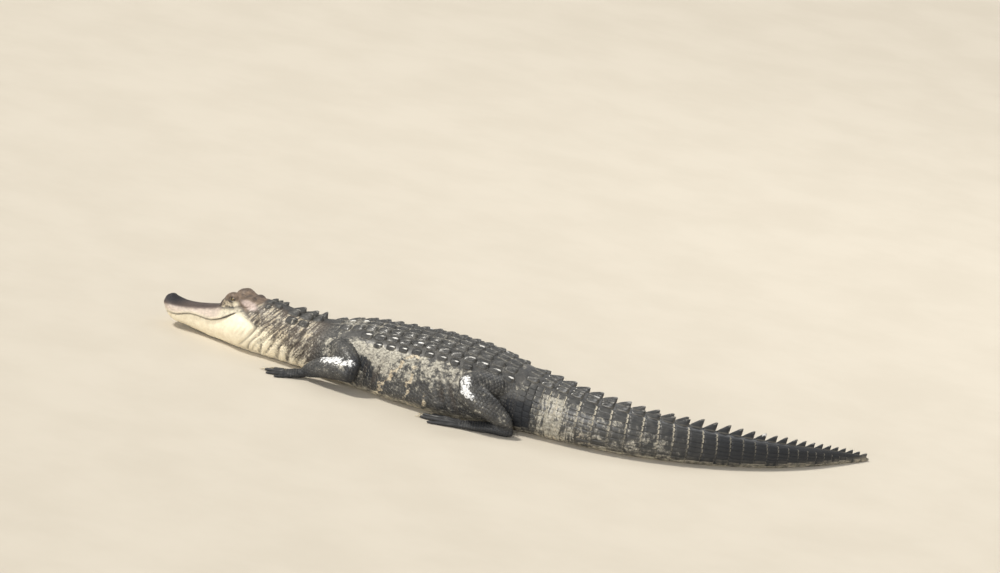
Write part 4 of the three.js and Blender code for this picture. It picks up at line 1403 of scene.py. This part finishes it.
def keeled_scute(across, along, sharp):
    """A horny plate: a raised, pitted field with a keel that rises to the rear."""
    bpy.ops.object.select_all(action="DESELECT")
    bpy.ops.mesh.primitive_grid_add(x_subdivisions=along, y_subdivisions=across, size=2)
    piece = bpy.context.object
    edit(piece, "EDGE")
    bpy.ops.mesh.select_all(action="DESELECT")
    bpy.ops.mesh.select_non_manifold(extend=False)
    bpy.ops.mesh.extrude_edges_move(TRANSFORM_OT_translate={"value": (0, 0, -1)})
    bpy.ops.mesh.select_mode(type="FACE")
    bpy.ops.mesh.select_all(action="SELECT")
    bpy.ops.mesh.normals_make_consistent(inside=False)
    bpy.ops.object.mode_set(mode="OBJECT")
    points, faces = take_pattern(piece)
    u, v, root = points[:, 0], points[:, 1], points[:, 2] < -0.5
    edge = np.maximum(np.abs(u), np.abs(v))
    rise = 0.22 + 0.78 * step(-0.9, 0.55, u)
    fall = 1 - step(0.72, 1.0, u) * 0.75
    ridge = np.exp(-(np.abs(v) / sharp) ** 1.3) * 0.8 + 0.2 * (1 - np.abs(v))
    keel = np.where(root, 0, rise * fall * ridge * step(-1.05, -0.6, u))
    field = {
        "u": u * np.sqrt(1 - 0.30 * v * v),
        "v": v * np.sqrt(1 - 0.30 * u * u),
        "root": root.astype(float),
        "rim": np.where(root, 0, 0.35 + 0.65 * step(1.0, 0.72, edge)),
        "keel": keel,
        "edge": np.where(root, 1, step(0.72, 0.98, np.maximum(u, np.abs(v) * 0.94))),
        "top": keel,
    }
    return field, faces


def flat_scale(corners, squareness, rim, plateau, dome, tilt):
    """A low scale. Its tilt lets the rear edge stand over the next one."""
    points, faces = round_scale(corners, squareness, rim, plateau, dome)
    root = points[:, 2] < -0.5
    lift = np.where(root, 0, np.clip(points[:, 2], 0, 1) * (1 + tilt * points[:, 0]))
    field = {
        "u": points[:, 0],
        "v": points[:, 1],
        "root": root.astype(float),
        "rim": lift,
        "keel": np.zeros(len(lift)),
        "edge": step(0.90, 0.955, points[:, 0]),
        "top": np.where(root, 0, points[:, 2]),
    }
    return field, faces


def nearest_on(tree, points):
    """For points in millimetres: the nearest point of the skin, its normal, and the distance in metres."""
    ground, normal = np.empty_like(points), np.empty_like(points)
    distance = np.empty(len(points))
    for i, p in enumerate(points / 1000):
        ground[i], normal[i], _, distance[i] = tree.find_nearest(p)
    return ground * 1000, normal, distance


def body_unwrap(station, turn):
    """Where a place of the body lies in the unwrapping, of which the limbs have the last third."""
    return np.stack([0.04 + 0.62 * (turn + 1) / 2, 0.02 + 0.96 * station / TOTAL], axis=-1)


# Every small variation is drawn from here, in the order in which the scales are laid.
draw = np.random.default_rng(11)


class Coat:
    """Gathers copies of patterns over the skin and makes one piece of them."""

    def __init__(self, name, body, tree):
        self.name, self.body, self.tree = name, body, tree
        self.points, self.faces, self.uv = [], [], []
        self.marks = {name: [] for name in ("edge", "top", "vary", "along", "foot", "face")}
        self.count = 0
        self.copies = 0

    def add(self, pattern, centre, along, length, width, sizes, uv, face, lean=0.0):
        """Copies of a pattern at centres. sizes holds their heights at root, rim and keel."""
        if not len(centre):
            return
        field, faces = pattern
        foot, normal, distance = nearest_on(self.tree, centre)
        keep = distance < STRAY
        length, width, root, rim, keel = (
            np.broadcast_to(value, len(centre))[keep][:, None] for value in (length, width, *sizes)
        )
        foot, normal, along, uv, face = (rows[keep] for rows in (foot, normal, along, uv, face))
        along = along - (along * normal).sum(1)[:, None] * normal
        along /= np.maximum(np.linalg.norm(along, axis=1), 1e-9)[:, None]
        across = np.cross(normal, along)
        u, v = field["u"], field["v"]
        flat = (
            foot[:, None, :]
            + along[:, None, :] * (u * length / 2)[:, :, None]
            + across[:, None, :] * (v * width / 2)[:, :, None]
        )
        off = -root * field["root"] + rim * field["rim"] + keel * field["keel"]
        shape = flat.shape
        ground, way, _ = nearest_on(self.tree, flat.reshape(-1, 3))
        way = way.reshape(shape) * 0.35 + normal[:, None, :] * 0.65
        way /= np.linalg.norm(way, axis=2)[:, :, None]
        made = ground.reshape(shape) + way * off[:, :, None]
        made += along[:, None, :] * (lean * keel * field["keel"])[:, :, None]
        made[:, :, 2] = np.maximum(made[:, :, 2], 0.0)
        copies, corners = shape[:2]
        base = np.arange(copies) * corners + self.count
        for f in faces:
            self.faces.append(base[:, None] + np.array(f)[None, :])
        self.points.append(made.reshape(-1, 3))
        self.uv.append((uv[:, None, :] + np.stack([u, v], axis=1) * UV_SIZE).reshape(-1, 2))
        self.copies += copies
        self.count += copies * corners
        found = {
            "edge": np.tile(field["edge"], copies),
            "top": np.tile(field["top"], copies),
            "vary": np.repeat(draw.random(copies), corners),
            "along": (u * length / 2000).ravel(),
            "foot": np.repeat(foot, corners, axis=0),
            "face": np.repeat(face, corners, axis=0),
        }
        for name, values in found.items():
            self.marks[name].append(values)

    def add_on_body(self, pattern, station, turn, length, width, sizes, lean=0.0):
        """Copies of a pattern at stations and turns of the body, lengthwise along it."""
        station, turn = np.atleast_1d(station), np.atleast_1d(turn)
        centre = self.body.point(station, turn)
        along = self.body.point(station + 4, turn) - self.body.point(station - 4, turn)
        face = np.column_stack([station, turn, np.zeros(len(turn))])
        self.add(pattern, centre, along, length, width, sizes, body_unwrap(station, turn), face, lean)

    def make(self, finish, rim):
        """The finished piece. rim says how pale the rear edges are, and may depend on station and turn."""
        points = np.concatenate(self.points)
        sizes = np.concatenate([np.full(len(f), f.shape[1]) for f in self.faces])
        corners = np.concatenate([f.ravel() for f in self.faces])
        mesh = bpy.data.meshes.new(self.name)
        mesh.vertices.add(len(points))
        mesh.vertices.foreach_set("co", np.ascontiguousarray(metres(points), dtype=np.float32).ravel())
        mesh.loops.add(len(corners))
        mesh.loops.foreach_set("vertex_index", corners.astype(np.int32))
        mesh.polygons.add(len(sizes))
        mesh.polygons.foreach_set("loop_start", np.concatenate([[0], np.cumsum(sizes)[:-1]]).astype(np.int32))
        mesh.update(calc_edges=True)
        mesh.validate()
        layer = mesh.uv_layers.new(name="OFBake")
        uv = np.concatenate(self.uv)[corners]
        layer.data.foreach_set("uv", np.ascontiguousarray(uv, dtype=np.float32).ravel())
        found = {name: np.concatenate(values) for name, values in self.marks.items()}
        station, turn, limb_share = found["face"].T
        marks = markings(found["foot"], station, turn, limb_share)
        marks["rim"] = found["edge"] * (rim(station, turn) if callable(rim) else rim)
        marks["lane"] = marks["lane"] + found["along"]
        marks["top"] = found["top"]
        marks["vary"] = found["vary"]
        set_marks(mesh, marks)
        mesh.materials.append(finish)
        mesh.polygons.foreach_set("use_smooth", np.ones(len(mesh.polygons), bool))
        piece = bpy.data.objects.new(self.name, mesh)
        bpy.context.collection.objects.link(piece)
        print(self.name, self.copies, "copies,", int((sizes - 2).sum()), "triangles")
        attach(piece, "root")
        return piece


def at_station(value, station):
    """A number, or what a function of the station gives."""
    return value(station) if callable(value) else value


def body_rows(coat, pattern, rows, turn_from, turn_to, width, sizes, jitter, fill=1.0, shift=True):
    """Rows of a pattern across both sides of the body. Each row is a station and the length of its copies."""
    for i, (station, length) in enumerate(rows):
        girth = coat.body.girth(station)
        start, wide = at_station(turn_from, station), at_station(width, station)
        count = max(1, int(round((turn_to - start) * girth / wide)))
        share = (np.arange(count) + 0.5 + (0.5 if shift and i % 2 else 0)) / count
        share = share[share < 1.01]
        turn = start + (turn_to - start) * share
        for side in (-1, 1):
            n = len(turn)
            s = station + draw.uniform(-jitter, jitter, n) * length
            t = side * (turn + draw.uniform(-jitter, jitter, n) * wide / girth)
            size = 1 + draw.uniform(-jitter, jitter, n)
            across = (turn_to - start) * girth / count * fill * size
            coat.add_on_body(pattern, s, t, length * fill * size, across, sizes)


def even_rows(start, end, pace, length):
    return [(station, length) for station in np.arange(start, end, pace)]


def along_ring(ring, column):
    """Points of a closed ring at fractional columns."""
    below = column.astype(int)
    part = (column - below)[:, None]
    return ring[below % len(ring)] * (1 - part) + ring[(below + 1) % len(ring)] * part


def limb_rows(coat, pattern, path, pace, width, sizes, cell):
    """Rows of a pattern round a segment of a limb, unwrapped into a cell of its own."""
    rings = limb_rings(path, LIMB_SIDES, LIMB_STEPS)
    centres = rings.mean(axis=1)
    far = np.concatenate([[0], np.cumsum(np.linalg.norm(np.diff(centres, axis=0), axis=1))])
    for i, reach in enumerate(np.arange(pace * 0.6, far[-1] - pace * 0.4, pace)):
        r = int(np.clip(np.searchsorted(far, reach), 2, LIMB_STEPS - 2))
        gaps = np.linalg.norm(np.roll(rings[r], -1, axis=0) - rings[r], axis=1)
        around = np.concatenate([[0], np.cumsum(gaps)])
        girth = around[-1]
        count = max(4, int(round(girth / width)))
        at = (np.arange(count) + 0.5 * (i % 2)) / count * girth
        column = np.interp(at, around, np.arange(LIMB_SIDES + 1))
        centre = along_ring(rings[r], column)
        along = along_ring(rings[r + 2], column) - along_ring(rings[r - 2], column)
        size = 1 + draw.uniform(-0.12, 0.12, count)
        uv = np.column_stack([
            0.70 + 0.27 * (cell % 3 + 0.05 + 0.9 * at / girth) / 3,
            np.full(count, 0.02 + 0.96 * (cell // 3 + 0.05 + 0.9 * reach / far[-1]) / 4),
        ])
        face = np.tile([*LIMB_PLACE, 1.0], (count, 1))
        across = girth / count * 0.97 * size
        # none where the limb lies on the floor
        good = centre[:, 2] > 3.0
        laid = (centre, along, size, across, uv, face)
        centre, along, size, across, uv, face = (rows[good] for rows in laid)
        coat.add(pattern, centre, along, pace * size, across, sizes, uv, face)


# The build, piece by piece


def dress(piece, finish):
    """Gives a piece its material and smooth shading."""
    piece.data.materials.clear()
    piece.data.materials.append(finish)
    select_only(piece)
    bpy.ops.object.shade_smooth()


def own_points(piece):
    """The piece's points in the millimetres of this script."""
    return vertex_array(piece) * 1000 - SHIFT


def build_skin():
    """The one skin over body and legs. Returns where the body's places are and a tree of the skin's faces."""
    skin, (ring_station, ring_turn, ring_girth, rings) = make_skin()
    unite(skin, [part for name, leg in LEGS.items() for part in make_leg(name, leg)])
    places = Places(ring_station, ring_turn, rings)
    station, turn, limb_share, joint = places.find(own_points(skin))
    smooth_joints(skin, joint)
    points = own_points(skin)
    none = np.zeros(len(points))
    marks = {**markings(points, station, turn, limb_share), "rim": none, "top": none, "vary": none + 0.35}
    set_marks(skin.data, marks)
    faces = [tuple(p.vertices) for p in skin.data.polygons]
    print("skin", len(points), sum(len(f) - 2 for f in faces))
    dress(skin, hide_finish("hide", plates=True))
    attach(skin, "root")
    flesh = ["head", "lower_jaw", "neck", "torso", "tail_base", "tail_middle", "tail_end"]
    for name in LEGS:
        bones = ("upper_arm", "forearm", "foot") if name.startswith("fore") else ("thigh", "shank", "foot")
        flesh += [f"{name}_{bone}" for bone in bones]
    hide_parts(*flesh)
    body = Body(ring_station, ring_turn, ring_girth, rings)
    return body, BVHTree.FromPolygons([tuple(p / 1000) for p in points], faces)


# The plates of the back in rows across it: distance from the middle, width and keel height
BACK_COLUMNS = [(17, 31, 6), (49.5, 30, 7.5), (81, 28, 8.5), (108, 22, 6)]
BACK_START, BACK_PACE, BACK_ROWS = 526, 38, 15
# How many plates each side of a row has, where it hasn't all of them
SHORT_ROWS = {0: 1, 1: 2, 2: 2, 3: 3, 13: 3, 14: 3}
# The plates of the neck: station, distance from the middle, length, width and keel height
NECK_PLATES = [
    (318, 13, 18, 17, 6), (322, 36, 18, 18, 6), (348, 20, 18, 18, 7), (396, 17, 34, 31, 13),
    (404, 50, 32, 27, 11), (434, 17, 35, 31, 15), (440, 49, 30, 24, 11), (468, 14, 27, 25, 17),
]


def build_shield(body, tree, horn):
    """The keeled plates of the back and the neck."""
    scute = keeled_scute(8, 9, 0.22)
    coat = Coat("back_shield", body, tree)
    for row in range(BACK_ROWS):
        at = BACK_START + BACK_PACE * row
        girth = body.girth(at)
        for off, wide, keel in BACK_COLUMNS[:SHORT_ROWS.get(row)]:
            outermost = off == BACK_COLUMNS[-1][0]
            for side in (-1, 1):
                size = 0.94 + 0.1 * draw.random()
                station = at + draw.uniform(-1, 1) + (6 if outermost else 0)
                length = BACK_PACE * (0.7 if outermost else 0.95)
                sizes = (3.0, 2.2, keel * size)
                coat.add_on_body(scute, station, side * off / girth, length, wide * size * 1.04, sizes, 0.25)
    for station, off, length, wide, keel in NECK_PLATES:
        girth = body.girth(station)
        for side in (-1, 1):
            sizes = (3.0, 2.6, keel)
            coat.add_on_body(scute, station, side * off / girth, length * 1.04, wide * 1.04, sizes, 0.3)
    coat.make(horn, 0.10)


# How many whorls of the tail carry a double crest, and how many of them a low pair of plates inside it
DOUBLE_WHORLS = 11
INNER_WHORLS = 6
# How many whorls have two rows of plates, and the lengths from which and to which the whorls shorten
SPLIT_WHORLS = 3
WHORL_LENGTHS = (41, 29)


def tail_whorls():
    """Stations between the whorls of the tail."""
    first, last = WHORL_LENGTHS
    whorls = [TRUNK_END]
    while whorls[-1] < TOTAL - 30:
        whorls.append(whorls[-1] + first + (last - first) * float(step(1500, TOTAL, whorls[-1])))
    return whorls


def crest_plates(number, size, vary):
    """The crest plates of one whorl: distance from the middle, width and keel height, and how they lean."""
    if number >= DOUBLE_WHORLS:
        return [(0.0, 5 + 8 * size, (6 + 18 * size) * vary)], 0.3
    t = number / (DOUBLE_WHORLS - 1)
    off = 47 + (8.5 - 47) * t**0.8
    wide, keel = 23 + (13 - 23) * t, (9 + (18 - 9) * t) * vary
    plates = [(side * off, wide, keel) for side in (-1, 1)]
    if number < INNER_WHORLS:
        inner = min(14, off / 2 - 4)
        plates += [(side * inner, inner * 1.8, 5) for side in (-1, 1)]
    return plates, 0.35


def build_crest(body, tree, horn, whorls):
    """The double crest at the root of the tail, and the single one behind it."""
    blade = keeled_scute(6, 8, 0.30)
    coat = Coat("tail_crest", body, tree)
    for number, (start, end) in enumerate(zip(whorls, whorls[1:])):
        station = (start + end) / 2
        girth = body.girth(station)
        size = 1 - float(step(1500, TOTAL + 150, station))
        plates, lean = crest_plates(number, size, 0.94 + 0.12 * draw.random())
        for off, wide, keel in plates:
            sizes = (3.0 * min(1, size + 0.3), 2.2 * min(1, size + 0.35), keel)
            coat.add_on_body(blade, station, off / girth, (end - start) * 0.9, wide, sizes, lean)
    coat.make(horn, 0.16)


def build_tail_plates(body, tree, finish, tile, whorls):
    """The square plates round the tail, whorl by whorl."""
    rows = []
    for number, (start, end) in enumerate(zip(whorls, whorls[1:])):
        parts = 2 if number < SPLIT_WHORLS else 1
        rows += [(start + (end - start) * (i + 0.5) / parts, (end - start) / parts) for i in range(parts)]

    def crest_edge(station):
        off = 60 if station < 1140 else 60 - 44 * step(1100, 1560, station)
        return float(np.clip(off / body.girth(station), 0.10, 0.5))

    def width(station):
        return 8 + 8 * (1 - float(step(1200, 2100, station)))

    def rim(station, turn):
        across = 0.95 * step(0.62, 0.20, np.abs(turn)) + 0.12
        return across * step(1130, 1180, station) * (1 - 0.7 * step(1540, 1680, station))

    coat = Coat("tail_plates", body, tree)
    body_rows(coat, tile, rows[:-1], crest_edge, 0.99, width, (1.5, 1.5, 0.0), 0.02, fill=1.03, shift=False)
    coat.make(finish, rim)


def build_scales(body, tree, finish, bead, tile):
    """The small scales of flank, neck and belly, each coat a piece."""

    def shield_edge(station):
        off = 118 if 640 < station < 1010 else 84 if station > 560 else 40
        return float(np.clip(off / body.girth(station), 0.1, 0.62))

    def neck_edge(station):
        return float((30 if station < 380 else 66) / body.girth(station))

    flank = Coat("flank_scales", body, tree)
    body_rows(flank, bead, even_rows(500, 1096, 10.0, 11.8), shield_edge, 0.80, 9.8, (0.9, 0.7, 0.0), 0.22)
    flank.make(finish, 0.30)
    neck = Coat("neck_scales", body, tree)
    body_rows(neck, bead, even_rows(322, 500, 7.8, 9.4), neck_edge, 0.80, 7.4, (0.8, 0.6, 0.0), 0.22)
    neck.make(finish, 0.35)
    belly = Coat("belly_plates", body, tree)
    rows = even_rows(150, 1096, 17, 17)
    body_rows(belly, tile, rows, 0.80, 1.0, 16, (0.8, 0.7, 0.0), 0.02, fill=0.99, shift=False)
    belly.make(finish, 0.2)


# The pace, width and heights of the scales on each segment of a leg
LEG_SCALES = {
    "upper": (10.0, 10.5, (0.8, 0.8, 0.0)),
    "lower": (9.5, 10.0, (0.8, 0.8, 0.0)),
    "palm": (7.0, 7.5, (0.6, 0.8, 0.0)),
}


def build_leg_scales(body, tree, finish, bead):
    """The scales of all four legs, each segment in its own cell of the unwrapping."""
    coat = Coat("leg_scales", body, tree)
    cell = 0
    for leg in LEGS.values():
        for part, measures in LEG_SCALES.items():
            limb_rows(coat, bead, leg[part], *measures, cell)
            cell += 1
    coat.make(finish, 0.12)


def make_eye(name, node, side, finish):
    """The globe: a ball whose clear cap bulges over the iris and the slit of the pupil."""
    radius = EYE["radius"] - 0.5
    bpy.ops.object.select_all(action="DESELECT")
    bpy.ops.mesh.primitive_uv_sphere_add(segments=48, ring_count=32, radius=radius)
    globe = bpy.context.object
    globe.name = name
    points = vertex_array(globe)
    # the pole looks out sideways, a little up and forward
    look = np.array([-0.30, side, 0.16])
    look /= np.linalg.norm(look)
    points *= (1 + 0.035 * hill(points[:, 2] / radius - 1, 0.22))[:, None]
    turn = Vector((0, 0, 1)).rotation_difference(Vector(look)).to_matrix()
    points = points @ np.array(turn).T
    # the pupil stands upright in the iris
    upright = np.array([0, 0, 1.0]) - look * look[2]
    upright /= np.linalg.norm(upright)
    ways = {"across": np.cross(upright, look), "upright": upright, "outward": look}
    set_marks(globe.data, {mark: points @ way / EYE["radius"] for mark, way in ways.items()})
    set_vertices(globe, metres(points + place(EYE["station"], side * EYE["side"], EYE["height"])))
    dress(globe, finish)
    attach(globe, "root")
    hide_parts(node)


def make_horns(name, paths, finish, detail):
    """Claws or teeth: tapered, curved horns along their paths, joined to one piece."""
    made = [limb(f"{name}_{i}", path, detail, detail) for i, path in enumerate(paths)]
    bpy.ops.object.select_all(action="DESELECT")
    for horn in made:
        horn.select_set(True)
    bpy.context.view_layer.objects.active = made[0]
    bpy.ops.object.join()
    piece = bpy.context.object
    piece.name = name
    dress(piece, finish)
    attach(piece, "root")


def build_claws():
    """A claw on each toe that has one."""
    paths = [
        claw_path(knuckle, tip, thick)
        for leg in LEGS.values()
        for knuckle, tip, thick, has_claw in leg["toes"]
        if has_claw
    ]
    make_horns("claws", paths, plain_finish("claw", "claw", 0.35, 160.0), 10)


TOOTH_STATIONS = (20, 35, 50, 68, 90, 110, 130, 150, 168)
LONG_TEETH = (50, 130)


def build_teeth():
    """The upper teeth, which show along the closed mouth."""
    paths = []
    for at in TOOTH_STATIONS:
        length = 5.5 if at in LONG_TEETH else 3.6
        half = float(follow(SECTIONS, at)) - 2.9
        cut = float(follow(PARTING, at))
        for side in (-1, 1):
            x, y, _ = place(at, side * half, 0)
            out = side * 0.6
            paths.append([
                (x, y, cut + 3, 1.9, 1.9),
                (x + 0.05, y + out * 0.3, cut + 0.5, 1.7, 1.7),
                (x + 0.15, y + out, cut - length * 0.5, 1.2, 1.2),
                (x + 0.3, y + out * 0.8, cut - length, 0.35, 0.35),
            ])
    make_horns("teeth", paths, plain_finish("tooth", "tooth", 0.28, 200.0, 0.3), 8)


def build_floor():
    """The plain floor of the studio, which isn't a part of the model."""
    bpy.ops.object.select_all(action="DESELECT")
    bpy.ops.mesh.primitive_plane_add(size=40, location=(0, 0, 0))
    floor = bpy.context.object
    floor.name = "studio_floor"
    floor.data.materials.append(plain_finish("studio_floor", "floor", 0.9, 3.0))


set_camera()
set_light()
body, skin_tree = build_skin()
horn = hide_finish("horn", 0.0009, 0.7)
scales = hide_finish("scales", 0.0004)
bead = flat_scale(8, 3.0, 0.05, 0.26, 0.9, 0.30)
tile = flat_scale(16, 6.0, 0.03, 0.25, 0.7, 0.45)
whorls = tail_whorls()
build_shield(body, skin_tree, horn)
build_crest(body, skin_tree, horn, whorls)
build_tail_plates(body, skin_tree, scales, tile, whorls)
build_scales(body, skin_tree, scales, bead, tile)
build_leg_scales(body, skin_tree, scales, bead)
eye_look = eye_finish()
make_eye("eyeball_left", "eye_left", -1, eye_look)
make_eye("eyeball_right", "eye_right", 1, eye_look)
build_claws()
build_teeth()
build_floor()
